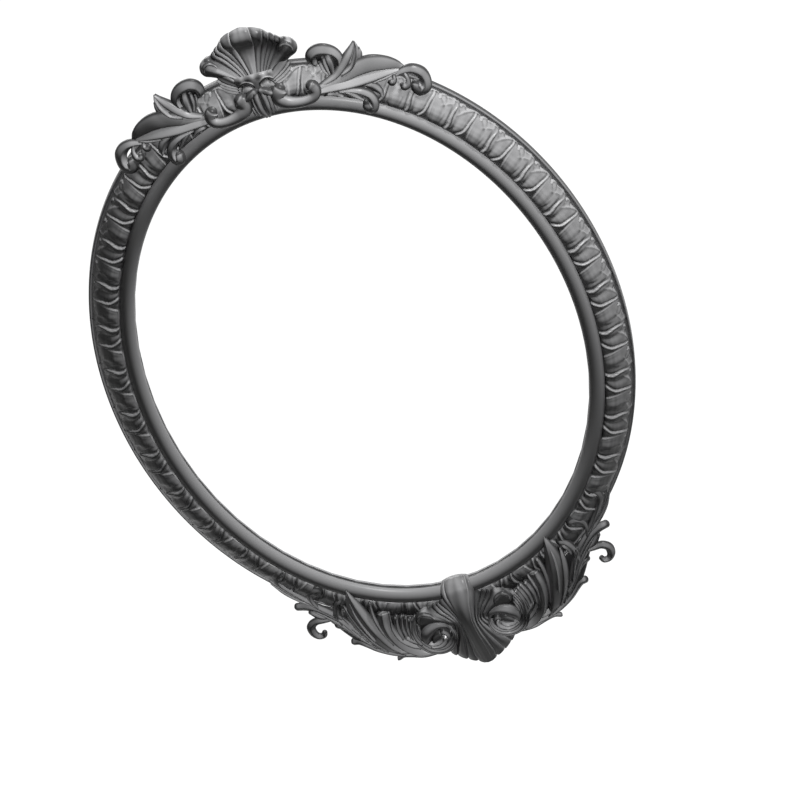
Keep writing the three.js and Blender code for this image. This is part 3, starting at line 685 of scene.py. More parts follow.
def past_line(points, past, out):
    """Distance in mm from a line of points, above 0 on its high side and below 0 on its low side."""
    nearest = np.full(np.broadcast(past, out).shape, np.inf)
    side = np.zeros(nearest.shape)
    for (p, q), (p2, q2) in zip(points, points[1:]):
        ax, ay = (past - p) * MM_PER_DEGREE, out - q
        bx, by = (p2 - p) * MM_PER_DEGREE, q2 - q
        share = np.clip((ax * bx + ay * by) / (bx * bx + by * by), 0, 1)
        away = np.hypot(ax - share * bx, ay - share * by)
        nearer = away < nearest
        nearest = np.where(nearer, away, nearest)
        side = np.where(nearer, np.where(bx * ay < by * ax, 1.0, -1.0), side)
    return side * nearest


def lap_height(past, out):
    """Step heights of all laps, for grids of angle past the three lobed leaf and distance out."""
    past = np.where(past > LAP_TURNOVER, past - GROUP_ANGLE, past)
    total = np.zeros(np.broadcast(past, out).shape)
    for points, step, reach in LAPS:
        gap = past_line(points, past, out)
        edge = np.clip(gap / LAP_SOFTNESS, -1, 1)
        total += edge * 0.5 * step * np.exp(-((gap / reach) ** 2))
    return total


# %% Put the leaf group together
TUCK, TUCK_WIDTH = 1.6, 6.0
SWELL, SWELL_FROM, SWELL_OVER = 0.9, 15, 7
SEAM_GAIN = 1.15
OUTLINE_SOFTNESS = 0.5


def band_relief(angle, out):
    """Height of the leaves, and how far each place lies outside them at the outer and at the inner edge."""
    past = np.mod(angle - GROUP_ANGLE / 2, GROUP_ANGLE)
    height = SEAM_GAIN * group_height(past, out) + lap_height(past, out)
    height = height + SWELL * ease((out - SWELL_FROM) / SWELL_OVER)
    height = height - TUCK * np.clip(1 - out / TUCK_WIDTH, 0, 1) ** 2
    outside = ease((out - outline_at(OUTER_OUTLINE, past)) / OUTLINE_SOFTNESS)
    below = ease((outline_at(INNER_OUTLINE, past) - out) / OUTLINE_SOFTNESS)
    return height, outside, below


# %% The band's cushion and its two halves
BAND_START, BAND_WIDTH, BAND_FALL = 0.7, 26.2, 20.6
# The cushion, as shares of the band's width and of its fall
BAND_FACE = [(0.0, 0.06), (0.05, 0.02), (0.11, 0.0), (0.24, 0.0), (0.39, 0.045), (0.55, 0.18), (0.7, 0.38),
             (0.84, 0.61), (0.94, 0.83), (1.0, 1.0)]
CUSHION_STEPS, CUSHION_BLURS = 200, 40
OUTER_SLOPE, OUTER_SLOPE_WIDTH = 0.8, 1.0
LEAF_UNDERCUT = -3.0
FLAT_DROP, FLAT_BACK = 0.9, 21.25
FLAT_FROM, FLAT_OVER = 21.5, 3.5
# The skirt's points, as distances out past the band's start and depths
INNER_SKIRT, OUTER_SKIRT = [(-0.1, 8.0), (-0.3, 5.0)], [(27.6, 22.0)]
BAND_ANGLES = np.linspace(FIRST_ANGLE, LAST_ANGLE, GROUPS_PER_SIDE * 60 + 1)
BAND_ROWS = [(0, 3.6, 10), (3.6, 22, 30), (22, 27.5, 20)]
BAND_OUTS = np.unique(np.concatenate([np.linspace(*row) for row in BAND_ROWS]))


def cushion():
    """Depth of the plain cushion at BAND_OUTS."""
    fine = np.linspace(0, 1, CUSHION_STEPS)
    falls = np.interp(fine, *zip(*BAND_FACE))
    for _ in range(CUSHION_BLURS):
        falls[1:-1] = 0.25 * falls[:-2] + 0.5 * falls[1:-1] + 0.25 * falls[2:]
    return np.interp(BAND_OUTS / BAND_WIDTH, fine, falls) * BAND_FALL


def skirt(points):
    """Columns (out, depth) that go back from an edge of the band into the moulding beside it."""
    ones = np.ones((len(BAND_ANGLES), 1, 1))
    return ones * [[BAND_START + out, back] for out, back in points]


def band_sheet():
    """The carved face of one half of the band, with a skirt that goes back into the lip and the bead."""
    back = cushion()
    slope = np.where(BAND_OUTS > BAND_WIDTH - OUTER_SLOPE_WIDTH, OUTER_SLOPE, np.gradient(back, BAND_OUTS))
    normal_out, normal_back = slope / np.hypot(1, slope), -1 / np.hypot(1, slope)
    relief, outside, below = band_relief(BAND_ANGLES[:, None], BAND_START + BAND_OUTS)
    relief = (relief * (1 - below) + LEAF_UNDERCUT * below) * (1 - outside)
    out = BAND_START + BAND_OUTS + normal_out * relief
    flat = back + FLAT_DROP + (FLAT_BACK - back - FLAT_DROP) * ease((BAND_OUTS - FLAT_FROM) / FLAT_OVER)
    depth = (back + normal_back * relief) * (1 - outside) + flat * outside
    columns = [skirt(INNER_SKIRT), np.stack([out, depth], -1), skirt(OUTER_SKIRT)]
    section = np.concatenate(columns, axis=1)
    return oval_points(BAND_ANGLES[:, None], section[..., 0], section[..., 1])


LEAF_BAND = band_sheet()
for side in SIDES:
    band = build_piece(f"leaves_{side}", [Sheet(on_side(LEAF_BAND, side), False, FRONT)], CARVED_PAINT)
    dress(band, f"leaf_band_{side}")
print("leaf band points a side:", len(band.data.vertices))

# %% [markdown]
# ## Carved lobes
# Acanthus carving is made of long rounded strokes of the gouge. Each stroke is a lobe here: a body that
# follows a line, with a half width, a half depth and a cut across its face, such as round, hollow,
# ribbed or creased. Where lobes run into each other they leave the dark creases that carving has, and
# painted shade along each lobe's edges darkens them further. The places are read on the groove plane
# from the photograph's side, so a lobe further back is moved by the camera's slant.

# %% Cuts across a lobe
# Each cut gives the height across a lobe, from u = -1 at its left edge to 1 at its right edge.


def round_cut(u):
    return np.sqrt(np.clip(1 - u * u, 0, 1))


def soft_cut(u):
    """Flatter on top than a round one."""
    return np.clip(1 - np.abs(u) ** 3.2, 0, 1) ** 0.6


def creased_cut(at, deep, wide):
    return lambda u: round_cut(u) * (1 - deep * np.exp(-(((u - at) / wide) ** 2)))


def hollow_cut(deep):
    return lambda u: np.clip(1 - u**4, 0, 1) ** 0.5 * (1 - deep * (1 - u * u))


def ribbed_cut(ribs, deep, dome=0.35):
    """Round cords side by side on a slightly domed band."""

    def cut(u):
        wave = np.abs(np.sin(ribs * math.pi * (u + 1) / 2))
        return np.clip(1 - u**10, 0, 1) ** 0.5 * (1 - dome * u * u) * (1 - deep * (1 - wave) ** 1.4)

    return cut


def roof_cut(at, sharp):
    """Two slopes that meet in a line, rounder where sharp is lower."""

    def cut(u):
        side = np.where(u < at, (u + 1) / (at + 1), (1 - u) / (1 - at))
        return (1 - sharp) * round_cut(u) + sharp * np.clip(side, 0, 1)

    return cut


# %% Lines in space
SLANT_X, SLANT_Z = 0.216, 0.645


def seen(x, z, back):
    """A place read on the groove plane, in millimetres from the oval's centre, at its real depth."""
    return np.array([x - SLANT_X * back, GROOVE_Y + back, z - SLANT_Z * back + CENTRE_Z])


def smooth_line(values, count):
    """Catmull-Rom through rows of values."""
    v = np.asarray(values, float)
    v = np.vstack([2 * v[0] - v[1], v, 2 * v[-1] - v[-2]])
    t = np.linspace(0, len(v) - 3 - 1e-9, count)
    i = t.astype(int)
    s = (t - i)[:, None]
    a, b, c, d = v[i], v[i + 1], v[i + 2], v[i + 3]
    return 0.5 * (2 * b + (c - a) * s + (2 * a - 5 * b + 4 * c - d) * s**2 + (3 * b - a - 3 * c + d) * s**3)


def carried_axes(tangents):
    """An axis across and one towards the front for each point of a line, turning only as the line does."""
    across = np.cross(tangents[0], FRONT)
    axes = []
    for tangent in tangents:
        across = across - across.dot(tangent) * tangent
        across /= np.linalg.norm(across)
        axes.append((across, np.cross(across, tangent)))
    return axes


# %% One lobe as a sheet
STEPS_PER_POINT = 7
FACE_COLUMNS, BACK_COLUMNS, CAP_ROWS = 25, 9, 5
LEAST_HALF = 0.15
UNDER_SHARE = 0.8
# Painted shade at the edges of a lobe: where it starts, as a share of the half width, and how strong it is
EDGE_START, EDGE_SHADE = 0.72, 0.75


def lobe(points, side="right", cut=round_cut, lean=0.0, cap=0.75, face=FACE_COLUMNS, ground=False):
    """A sheet from points (x, z, back, half width, half depth), read as seen.

    lean turns its face in degrees, and cap is how far its round ends reach, in half widths. Its edges, where
    the next lobe would shade it, get painted shade, and a ground gets painted shade all over.
    """
    count = (len(points) - 1) * STEPS_PER_POINT + 1
    values = smooth_line([[*seen(x, z, back), *halves] for x, z, back, *halves in points], count)
    centres, halves = values[:, :3], np.maximum(values[:, 3:], LEAST_HALF)
    tangents = np.gradient(centres, axis=0)
    tangents /= np.linalg.norm(tangents, axis=1, keepdims=True)
    axes = carried_axes(tangents)
    end = np.sin(np.linspace(math.pi / 16, math.pi / 2, CAP_ROWS))
    rows = [(0, -s) for s in end[::-1]] + [(i, 0.0) for i in range(count)] + [(count - 1, s) for s in end]
    top = np.cos(np.linspace(math.pi, 0, face))
    under = np.cos(np.linspace(0, math.pi, BACK_COLUMNS + 2)[1:-1])
    cosine, sine = math.cos(math.radians(lean)), math.sin(math.radians(lean))
    sheet = []
    for i, beyond in rows:
        across, up = axes[i]
        across, up = across * cosine + up * sine, up * cosine - across * sine
        centre = centres[i] + tangents[i] * beyond * halves[i, 0] * cap
        width, depth = halves[i] * math.sqrt(max(1 - beyond * beyond, 0.0))
        over = np.outer(top * width, across) + np.outer(cut(top) * depth, up)
        below = np.outer(under * width, across) - np.outer(round_cut(under) * depth * UNDER_SHARE, up)
        sheet.append(centre + np.concatenate([over, below]))
    # Painted shade: darker towards the edges of the face, on the underside, and all over a ground
    near_edge = np.concatenate([ease((np.abs(top) - EDGE_START) / (1 - EDGE_START)), np.ones(BACK_COLUMNS)])
    shade = 1.0 if ground else EDGE_SHADE * np.tile(near_edge, (len(rows), 1))
    return Sheet(on_side(np.array(sheet), side), True, sunk=shade)


# %% From strokes to pieces
# A stroke is the points of a lobe and its options. These are the options that many strokes share.
ROUND = {"cut": round_cut}
SOFT = {"cut": soft_cut}
# A ground is painted in full shade all over
SHADED_GROUND = {"ground": True}


def roof(at=0, sharp=0.5, **more):
    return {"cut": roof_cut(at, sharp), **more}


def carve_pair(name, node, strokes):
    """A piece on the right from the strokes, and the same one mirrored on the left."""
    for side in SIDES:
        sheets = [lobe(points, side, **options) for points, options in strokes]
        piece = build_piece(f"{name}_{side}", sheets, CARVED_PAINT)
        dress(piece, f"{node}_{side}")
    print(name, "points a side:", len(piece.data.vertices))


def carve_middle(name, node, strokes, middle):
    """One piece in the middle: its own sheet, and the strokes on both sides of it."""
    sheets = [middle]
    for points, options in strokes:
        sheets += [lobe(points, side, **options) for side in SIDES]
    piece = build_piece(name, sheets, CARVED_PAINT)
    dress(piece, node)
    print(name, "points:", len(piece.data.vertices))


# %% [markdown]
# ## Fluted sheets
# A shell is not a bundle of lobes: it is one sheet that is gouged into flutes. So it is drawn as lines
# that run from the root to the rim. Some are creases, where the surface dives in steeply, and the
# others are crowns or floors, where it is level. Every line has a place at the same stations, and the
# sheet is spread between them. The back of a glued carving is flat, so the sheet goes over the rim and
# down a flat back.

# %% A sheet between lines
FLUTE_STEPS = 7
ROWS_PER_STATION = 6
# A standing shell's back moves along the line of sight. The move starts at a share of the height and is
# whole after another share, and its sideways part fades within a distance of the middle.
SHIFT_FROM, SHIFT_OVER, SHIFT_FADE = 0.4, 0.3, 12
RIM_CRISPNESS, RIM_BEVEL = 0.06, 0.1
MOSTLY_SIDEWAYS = np.array([1, 0.25, 1])


def spread(first, first_sharp, second, second_sharp, across):
    """Columns from one line up to the next, steep at a crease and level at a crown."""
    columns = []
    for s in np.linspace(0, 1, FLUTE_STEPS, endpoint=False):
        step = second - first
        level = (step * across).sum(-1, keepdims=True) * across
        rise = step - level
        turn = s * math.pi / 2
        if first_sharp and not second_sharp:
            a, b = 1 - math.cos(turn), math.sin(turn)
        elif second_sharp and not first_sharp:
            a, b = math.sin(turn), 1 - math.cos(turn)
        else:
            a, b = s, float(ease(s))
        columns.append(first + level * a + rise * b)
    return columns


def faced(points, away):
    return np.broadcast_to(away, points.shape)


def flat_backed(front, backs):
    """Closes a front sheet with side walls, a bevelled rim and a flat back at a depth for each row."""
    along = np.linspace(0, 1, len(front))
    back = GROOVE_Y + np.interp(along, np.linspace(0, 1, len(backs)), backs)[:, None]
    front = np.concatenate([front[:, :1], front, front[:, -1:]], axis=1)
    behind = front.copy()
    behind[..., 1] = back
    stands_up = front[-1, :, 2].mean() > front[0, :, 2].mean()
    if stands_up:
        share = ease((along - SHIFT_FROM) / SHIFT_OVER)[:, None] * (back - front[..., 1])
        behind[..., 2] -= SLANT_Z * share
        behind[..., 0] -= np.clip(behind[..., 0] / SHIFT_FADE, -1, 1) * SLANT_X * share
        front[:, [0, -1]] = behind[:, [0, -1]]
    else:
        front[:, [0, -1], 1] = back
        ends = front[[0, -1], :, 2]
        behind[..., 2] = np.clip(behind[..., 2], ends.min(0), ends.max(0))
    behind = behind[::-1]
    crisp = front[-1] * (1 - RIM_CRISPNESS) + front[-2] * RIM_CRISPNESS
    front = np.concatenate([front[:-1], crisp[None], front[-1:]])
    bevel = front[-1] * (1 - RIM_BEVEL) + behind[0] * RIM_BEVEL
    behind = np.concatenate([bevel[None], behind])
    away = np.concatenate([faced(front, FRONT), faced(behind, -FRONT)])
    # The rim bevel and the back get painted shade, as the undersides of the lobes do
    sunk = np.concatenate([np.zeros(front.shape[:2]), np.full(behind.shape[:2], EDGE_SHADE)])
    return Sheet(np.concatenate([front, behind]), False, away, sunk)


def fluted_sheet(lines, backs):
    """A closed sheet from lines (sharp, places as seen) that go outwards from the middle.

    backs is the depth of the flat back at each station.
    """
    half = []
    for sharp, places in lines:
        count = (len(places) - 1) * ROWS_PER_STATION + 1
        half.append((sharp, smooth_line([seen(*p) for p in places], count)))
    half[0][1][:, 0] = 0
    whole = [(sharp, mirrored(line)) for sharp, line in half[:0:-1]] + half
    columns = []
    for i, ((a_sharp, a), (b_sharp, b)) in enumerate(zip(whole, whole[1:])):
        low = whole[max(i - (0 if a_sharp else 1), 0)][1]
        high = whole[min(i + (1 if b_sharp else 2), len(whole) - 1)][1]
        across = (high - low) * MOSTLY_SIDEWAYS
        across /= np.linalg.norm(across, axis=1, keepdims=True) + TINY
        columns += spread(a, a_sharp, b, b_sharp, across)
    columns.append(whole[-1][1])
    return flat_backed(np.stack(columns, axis=1), backs)


# %% [markdown]
# ## The crest shell
# The shell stands up from the knot like a scoop. Its floor leans back, then its lip rolls forward over
# the hollow and shades it. On each side a soft crease marks the middle, a deep one parts it from three
# narrow flutes, and the outer flute opens into a horn with a rolled end. A husk of small petals lies
# under the horn.

# %% Crest shell
CREASE, LEVEL = True, False
SHELL_LINES = [
    (LEVEL, [(0, 349, 1), (0, 361, 5), (0, 372, 8.4), (0, 383, 11), (0, 390.5, 10.6), (0, 396.6, 6.6),
             (0, 402.4, 6.4), (0, 409.6, 9.3), (0, 416.4, 14.5)]),
    (LEVEL, [(1.8, 349.4, 1.4), (3.2, 361, 5.4), (4.8, 372, 8.8), (6.6, 383, 11.2), (7.6, 390.5, 10.8),
             (8, 396.6, 6.8), (8.2, 402.2, 6.6), (8.4, 409.3, 9.5), (8.6, 415.2, 14.5)]),
    (CREASE, [(2.8, 349.8, 3.4), (5, 361, 7), (7.6, 372, 10), (10.4, 383, 12.4), (12, 390.4, 12.2),
              (12.6, 396.6, 9), (12.8, 401.6, 8.6), (13, 408, 11.4), (13, 413.2, 15)]),
    (LEVEL, [(4.8, 350, 3.5), (7.2, 361, 6), (10.4, 372, 8.6), (14.2, 383, 10.4), (17.2, 390.5, 9.8),
             (18.8, 396.2, 6.4), (19.8, 400.8, 6.6), (20.8, 406, 9.8), (21.2, 410.8, 14.6)]),
    (CREASE, [(6.5, 350, 8), (9, 361, 13), (12.4, 372, 16), (16.8, 383, 17.5), (20.8, 391, 17),
              (22.9, 397, 14), (24.2, 401.4, 14), (25.2, 405.6, 16), (25.6, 408, 19)]),
    (LEVEL, [(7.6, 350, 4), (10.9, 361, 8), (15.1, 372, 11), (19.9, 382.3, 12.8), (23.6, 389.7, 12),
             (25.8, 395.4, 8), (27, 399.4, 9.5), (28, 403, 13), (28.4, 405, 17)]),
    (CREASE, [(8.5, 350, 8), (12.3, 360.5, 12.5), (17, 371, 15), (22.2, 381, 16.5), (26, 388.3, 16),
              (28.2, 393.4, 13.5), (29.4, 397, 13.5), (30.2, 400, 16), (30.4, 401.6, 19)]),
    (LEVEL, [(9.3, 350, 5), (13.5, 360, 9), (18.7, 370.5, 12), (24.1, 380.2, 13.5), (28.1, 387, 12.5),
             (30.4, 391.9, 8.5), (31.7, 395.9, 10), (32.8, 399.3, 13), (33.1, 401, 17)]),
    (CREASE, [(10, 350, 9), (14.8, 359.5, 13), (20.3, 369.5, 15.5), (26.1, 379, 16.5), (30.2, 385.5, 16),
              (32.6, 389.7, 14), (33.9, 393.2, 14), (34.8, 396, 16), (35, 397.4, 19)]),
    (LEVEL, [(10.8, 349.5, 5), (16, 359, 9), (22, 368.7, 12), (28.1, 378, 13.5), (32.4, 384, 12.5),
             (34.9, 388.2, 9), (36.2, 391.8, 10.5), (37.3, 394.8, 13), (37.6, 396.4, 17)]),
    (CREASE, [(11.5, 349, 9), (17.3, 358, 13), (23.8, 367, 15), (30.2, 375.5, 16), (34.8, 381.5, 15.5),
              (37.4, 385.6, 13.5), (38.9, 388.7, 13.5), (39.8, 391.2, 15.5), (40, 392.6, 18)]),
    (LEVEL, [(13, 348.5, 5), (19, 357, 8), (26, 365.6, 9.6), (32.6, 373.2, 9.4), (37.4, 379, 7.6),
             (41.4, 383.4, 6.2), (44.2, 387, 7.6), (45.4, 390.2, 11), (44.8, 392.4, 15)]),
    (LEVEL, [(14.2, 348, 4), (21, 355, 6.4), (28.8, 362.4, 7), (36, 368.6, 5.4), (41.6, 373, 4),
             (46.6, 376.8, 4.2), (50, 380.8, 6.4), (51.6, 385.4, 10.6), (50.2, 389.4, 15.5)]),
    (CREASE, [(15.4, 346.5, 8), (23, 351.5, 12), (31.5, 358.5, 14), (39, 364.4, 15), (44, 367.4, 14),
              (50, 369.6, 12), (53.6, 374.4, 13), (54.4, 380.6, 15.5), (53, 385.6, 19)]),
]
SHELL_BACKS = [20, 22, 23, 24, 24.5, 24.8, 24.8, 24.8, 24.8]
SHELL_HUSK = [
    ([(15, 347, 3, 2.5, 4), (24, 354, 7, 4.2, 4.5), (33, 361.5, 10, 4.8, 4.5), (39, 366.5, 12, 2.2, 3.5)],
     {"cut": hollow_cut(0.25)}),
    ([(17, 344.5, 4, 1.8, 4), (27, 350, 7, 2.6, 4), (36, 356.5, 10, 2.6, 4), (41, 361, 12, 1.0, 3)],
     roof(0.2)),
    ([(18, 342, 4, 1.6, 4), (27, 346, 7, 2.2, 4), (35, 351, 10, 2.2, 4), (40, 355, 12, 1.0, 3)], roof(0.2)),
    ([(19, 339.5, 4, 1.6, 3.5), (27, 342, 6, 2.0, 3.5), (34, 346, 9, 2.0, 3.5), (38, 349, 11, 0.9, 2.5)],
     roof(0.2)),
    ([(16, 352, 14, 6, 3), (28, 358, 16, 9, 3), (36, 362, 18, 6, 3)], SHADED_GROUND),
    ([(35, 377, 7.4, 1.0, 2.4), (38.4, 382, 6.6, 1.9, 2.8), (43.6, 383, 5.8, 2.3, 3),
      (47.6, 379, 5.8, 2.2, 3), (48.6, 373.6, 7.4, 1.2, 2.4)], roof(-0.3, 0.4)),
]
carve_middle("shell_crest", "crest_shell", SHELL_HUSK, fluted_sheet(SHELL_LINES, SHELL_BACKS))

# %% [markdown]
# ## Knot and stem
# Shell, scrolls and stem meet in a knot: a crowned boss with a pit on each side under a crisp rim, a
# post between the pits, and two short arms below. A boss with pits is easiest as a sheet of depths over
# a grid. A stem of narrow flutes hangs from it and turns over the bead.

# %% Crest knot
BOSS_FRONT, BOSS_BACK = -3.0, 12.0
BOSS_ROUND, BOSS_TOP, BOSS_TOP_ROLL = 0.013, 351, 0.09
BOSS_RIPPLE, RIPPLE_PITCH, RIPPLE_FROM, RIPPLE_OVER = 0.5, 0.55, 346, 8
PIT_DEPTH, PIT_MIDDLE, PIT_TOP, PIT_ARCH = 9.0, 11.6, 348.0, 0.075
PIT_INNER, INNER_SOFTNESS, PIT_OUTER, OUTER_SOFTNESS = 3.6, 1.6, 19, 1.5
PIT_EDGE, PIT_RISE, PIT_RISE_FROM, PIT_RISE_OVER = 0.9, 0.75, 3, 9
RIM_HEIGHT, RIM_ABOVE, RIM_WIDTH, RIM_INNER, RIM_SOFTNESS = 1.2, 1.0, 1.3, 2.5, 2
BOSS_HEIGHTS, BOSS_PLACES = np.linspace(330, 357.5, 46), np.linspace(-20.5, 20.5, 65)
# The boss narrows downwards: its least width as a share, where that is, and over what height it widens
LEAST_WIDTH, NARROW_FROM, NARROW_OVER = 0.35, 328, 12


def boss_depth(x, z):
    """Depth of the knot's face at a place as seen: a crowned boss with two pits that have crisp rims."""
    aside = np.abs(x)
    crown = BOSS_FRONT + BOSS_ROUND * x * x + BOSS_TOP_ROLL * np.clip(z - BOSS_TOP, 0, None) ** 2
    ripple = BOSS_RIPPLE * np.cos(aside * RIPPLE_PITCH) * ease((z - RIPPLE_FROM) / RIPPLE_OVER)
    under = PIT_TOP - PIT_ARCH * (aside - PIT_MIDDLE) ** 2 - z
    pit = ease(under / PIT_EDGE) * (1 - PIT_RISE * ease((under - PIT_RISE_FROM) / PIT_RISE_OVER))
    pit = pit * ease((aside - PIT_INNER) / INNER_SOFTNESS) * ease((PIT_OUTER - aside) / OUTER_SOFTNESS)
    rim = RIM_HEIGHT * np.exp(-(((under + RIM_ABOVE) / RIM_WIDTH) ** 2))
    rim = rim * ease((aside - RIM_INNER) / RIM_SOFTNESS) * ease((PIT_OUTER - aside) / RIM_SOFTNESS)
    return crown + ripple + PIT_DEPTH * pit - rim


def knot_boss():
    shares = LEAST_WIDTH + (1 - LEAST_WIDTH) * ease((BOSS_HEIGHTS - NARROW_FROM) / NARROW_OVER)
    rows = []
    for z, share in zip(BOSS_HEIGHTS, shares):
        rows.append([seen(x, z, boss_depth(x, z)) for x in BOSS_PLACES * share])
    return flat_backed(np.array(rows), [BOSS_BACK])


KNOT_ARMS = [
    ([(1.6, 337, -5, 3.0, 5), (6.5, 334, -6.6, 3.8, 5.4), (11.6, 330, -6.4, 2.8, 5)], SOFT),
]
carve_middle("knot_crest", "crest_knot", KNOT_ARMS, knot_boss())

# %% Crest stem
STEM_GROUND = [(-1.2, 336, -2, 4.5, 5), (-1.2, 320, -3, 4, 5), (-0.4, 308, 0, 3, 4)]
STEM_FLUTES = [
    ([(2.4, 335, -6, 3.2, 6), (2.6, 325, -7, 3.7, 6), (2.3, 313, -6, 3.3, 5.5), (1.2, 305.5, -1.5, 2.2, 4)],
     ROUND),
    ([(7.6, 333, -5, 2.6, 5), (7.6, 323, -6, 2.3, 5.5), (7.0, 313, -5, 2.1, 5), (7.2, 307.5, -1, 1.4, 3.5)],
     roof(0.3)),
    ([(11, 329, -4, 1.4, 4), (10.6, 320, -5, 1.5, 5), (10.4, 312, -4, 1.6, 4.5), (11.6, 308, -1, 0.9, 3)],
     roof(0.3)),
]
carve_middle("stem_crest", "crest_stem", STEM_FLUTES, lobe(STEM_GROUND, ground=True))

# %% [markdown]
# ## Scrolls, hooks and leaves of the crest
# Two C scrolls lie on the bead beside the stem, thick and round, each end swollen into a ball. Behind
# them stand hooks with a small striped husk under them, and a long leaf with two blades and one upright
# tip runs outwards to an end curl. Curls that hang over the bead finish the crest. The broad strokes
# are roofs: two faces that meet in a line, so that light from above leaves one of them bright and the
# other dark.

# %% Crest scrolls
carve_pair("scroll_crest", "crest_scroll", [
    ([(21.5, 333.5, -3, 6.0, 7), (18.6, 329, -4, 8.6, 9), (16.8, 321.5, -5.5, 8.0, 8.5),
      (22, 314.8, -7, 7.4, 8.5), (31, 310.8, -8, 6.2, 7.5), (42, 309.6, -8, 5.6, 7),
      (50.4, 312, -7, 5.8, 7), (54.4, 318.2, -5, 6.6, 7.5), (53.2, 324.6, -3.5, 7.2, 8),
      (51.5, 327.5, -3, 5.5, 7)], {"cap": 0.7}),
])

# %% Crest hooks
carve_pair("hook_crest", "crest_hook", [
    ([(64.5, 350.5, 14, 3.6, 5), (62.6, 355.5, 13, 5.2, 6.5), (64.6, 361.6, 12.5, 6.4, 7),
      (71, 365, 12.5, 7.2, 7), (79, 363.6, 12.5, 7.0, 7), (86.4, 358.6, 13, 5.8, 6.5),
      (90, 351, 12.5, 4.7, 6.5), (89, 343, 11.5, 4.0, 6), (85.4, 336, 10, 3.2, 5.5), (82, 331, 9, 2.4, 5)],
     roof(0.12, 0.7, cap=0.8, face=33)),
    ([(69.4, 350, 13, 1.6, 4), (70.6, 341, 12, 2.0, 5), (74.4, 332, 10, 1.4, 4.5)], roof(0.2, 0.7)),
    ([(74, 354, 13, 2.2, 4), (74, 343, 12, 2.8, 5.5), (75.6, 332, 10, 1.8, 4.5)], roof(0.1, 0.7)),
    ([(79.2, 358, 12, 2.6, 4.5), (79.6, 346, 10.5, 3.8, 6.5), (78, 332, 9, 2.0, 4.5)], SOFT),
    ([(68, 358, 19, 7, 3), (77, 352, 19, 11, 3), (80, 342, 18, 9, 3), (78, 333, 17, 5, 3)], SHADED_GROUND),
])

# %% Crest leaves
carve_pair("leaf_crest", "crest_leaf", [
    ([(58, 321.5, -1, 2.2, 4), (72, 323.5, 3, 4.0, 6), (88, 328, 7, 6.4, 7.5), (104, 333, 10.5, 9.0, 8.5),
      (118, 334, 13, 9.6, 8.5), (132, 330, 15.5, 8.0, 7), (142, 325, 17, 5.0, 5), (149, 319.5, 19, 1.2, 3)],
     roof(0.62, 0.6, lean=-6, face=37)),
    ([(62, 323, 2, 2.5, 4), (78, 328, 6, 5.0, 6.5), (89, 336, 9.5, 7.0, 7.5), (98.4, 346, 13, 7.2, 7.5),
      (106, 356, 16, 4.6, 5), (110.2, 364, 18, 0.9, 3)], {"cut": creased_cut(0.3, 0.5, 0.26), "face": 37}),
    ([(86, 329, 6, 2.2, 6), (98, 335, 9.5, 3.4, 7.5), (106, 345, 12.5, 3.6, 7), (110.4, 356, 16, 2.4, 4.5),
      (111, 364, 18, 0.7, 2.5)], roof(-0.4, 0.7)),
    ([(106, 340, 14, 3.0, 4), (111, 347, 15.5, 3.4, 4), (112.6, 355, 17, 1.6, 3)], SOFT),
    ([(56, 316.4, -3, 3.0, 5), (72, 316.2, 0, 5.4, 7.5), (90, 315.6, 4, 7.2, 9), (108, 316, 8, 8.2, 9),
      (124, 317, 12, 7.6, 8), (138, 317.6, 15.5, 4.6, 5.5), (149, 317.8, 18.5, 0.9, 3)],
     roof(0.05, 0.8, lean=4, face=37)),
    ([(112, 312, 7, 1.6, 7), (124, 313, 10, 2.6, 7.5), (136, 315, 13.5, 2.2, 6), (145, 317, 17, 0.7, 3)],
     roof(-0.3, 0.5)),
    ([(66, 310.5, -1, 1.4, 4), (74, 308, -2, 3.0, 4.5), (80, 303, -3, 0.6, 3)], roof(0, 0.6)),
    ([(82, 310, -1, 1.6, 4), (88, 304, -2, 3.0, 5), (95, 296, -3, 1.6, 4), (98, 293, -3, 0.8, 3)],
     roof(0, 0.6)),
    ([(104, 312, 5, 2.5, 5), (112, 306, 3, 5.4, 5), (117, 298, 1.5, 4.0, 4.5), (118, 291, 0, 0.8, 3.5)],
     roof(-0.1, 0.7)),
])

# %% Crest curls
carve_pair("end_curl_crest", "crest_end_curl", [
    ([(137, 312, 14, 2.0, 4.5), (146, 314.6, 15, 3.8, 6), (156, 314, 15.5, 5.6, 7),
      (163.6, 307.5, 15.5, 6.4, 7.5), (165.6, 298, 14.5, 6.2, 7.5), (163, 289.6, 13, 6.8, 8),
      (157, 287.4, 12, 7.2, 8.5), (154.4, 292.5, 11.5, 6.4, 7.5), (155, 297, 12, 3.5, 6)],
     roof(0, 0.35, cap=0.7, face=33)),
    ([(148, 311, 11, 1.6, 4), (149, 303, 8, 2.4, 4.5), (146.6, 296, 5.5, 3.4, 4.5),
      (142.4, 294.6, 5, 3.8, 4.8), (140.8, 298.5, 5.5, 2.4, 4)], {"cap": 0.7}),
    ([(136, 312, 9, 1.6, 3.5), (135.8, 306, 7, 2.4, 4), (132, 303, 5, 3.2, 4.2),
      (129.6, 305.6, 5, 2.2, 3.6)], {"cap": 0.7}),
])
carve_pair("drop_curl_crest", "crest_drop_curl", [
    ([(78, 310.5, -2, 1.2, 4), (88, 308.5, -2, 2.4, 5), (98, 304, -1.5, 4.2, 6.5),
      (105.4, 296.6, -1, 5.2, 7), (107, 287.4, -2, 5.8, 7.5), (103.4, 281.4, -2.5, 6.8, 8),
      (100.4, 284, -3, 6.4, 8), (100, 289, -3, 3.8, 6)], roof(0, 0.35, cap=0.7, face=33)),
])

# %% [markdown]
# ## The base shell
# The base repeats the crest's shell upside down. Its cap folds over the bead and its flutes run down to
# a waist, then open again into a fan with a scalloped edge. The lines run all the way, so cap and fan
# are one sheet. The outer flute of the cap rolls into a horn that hangs over the volute.

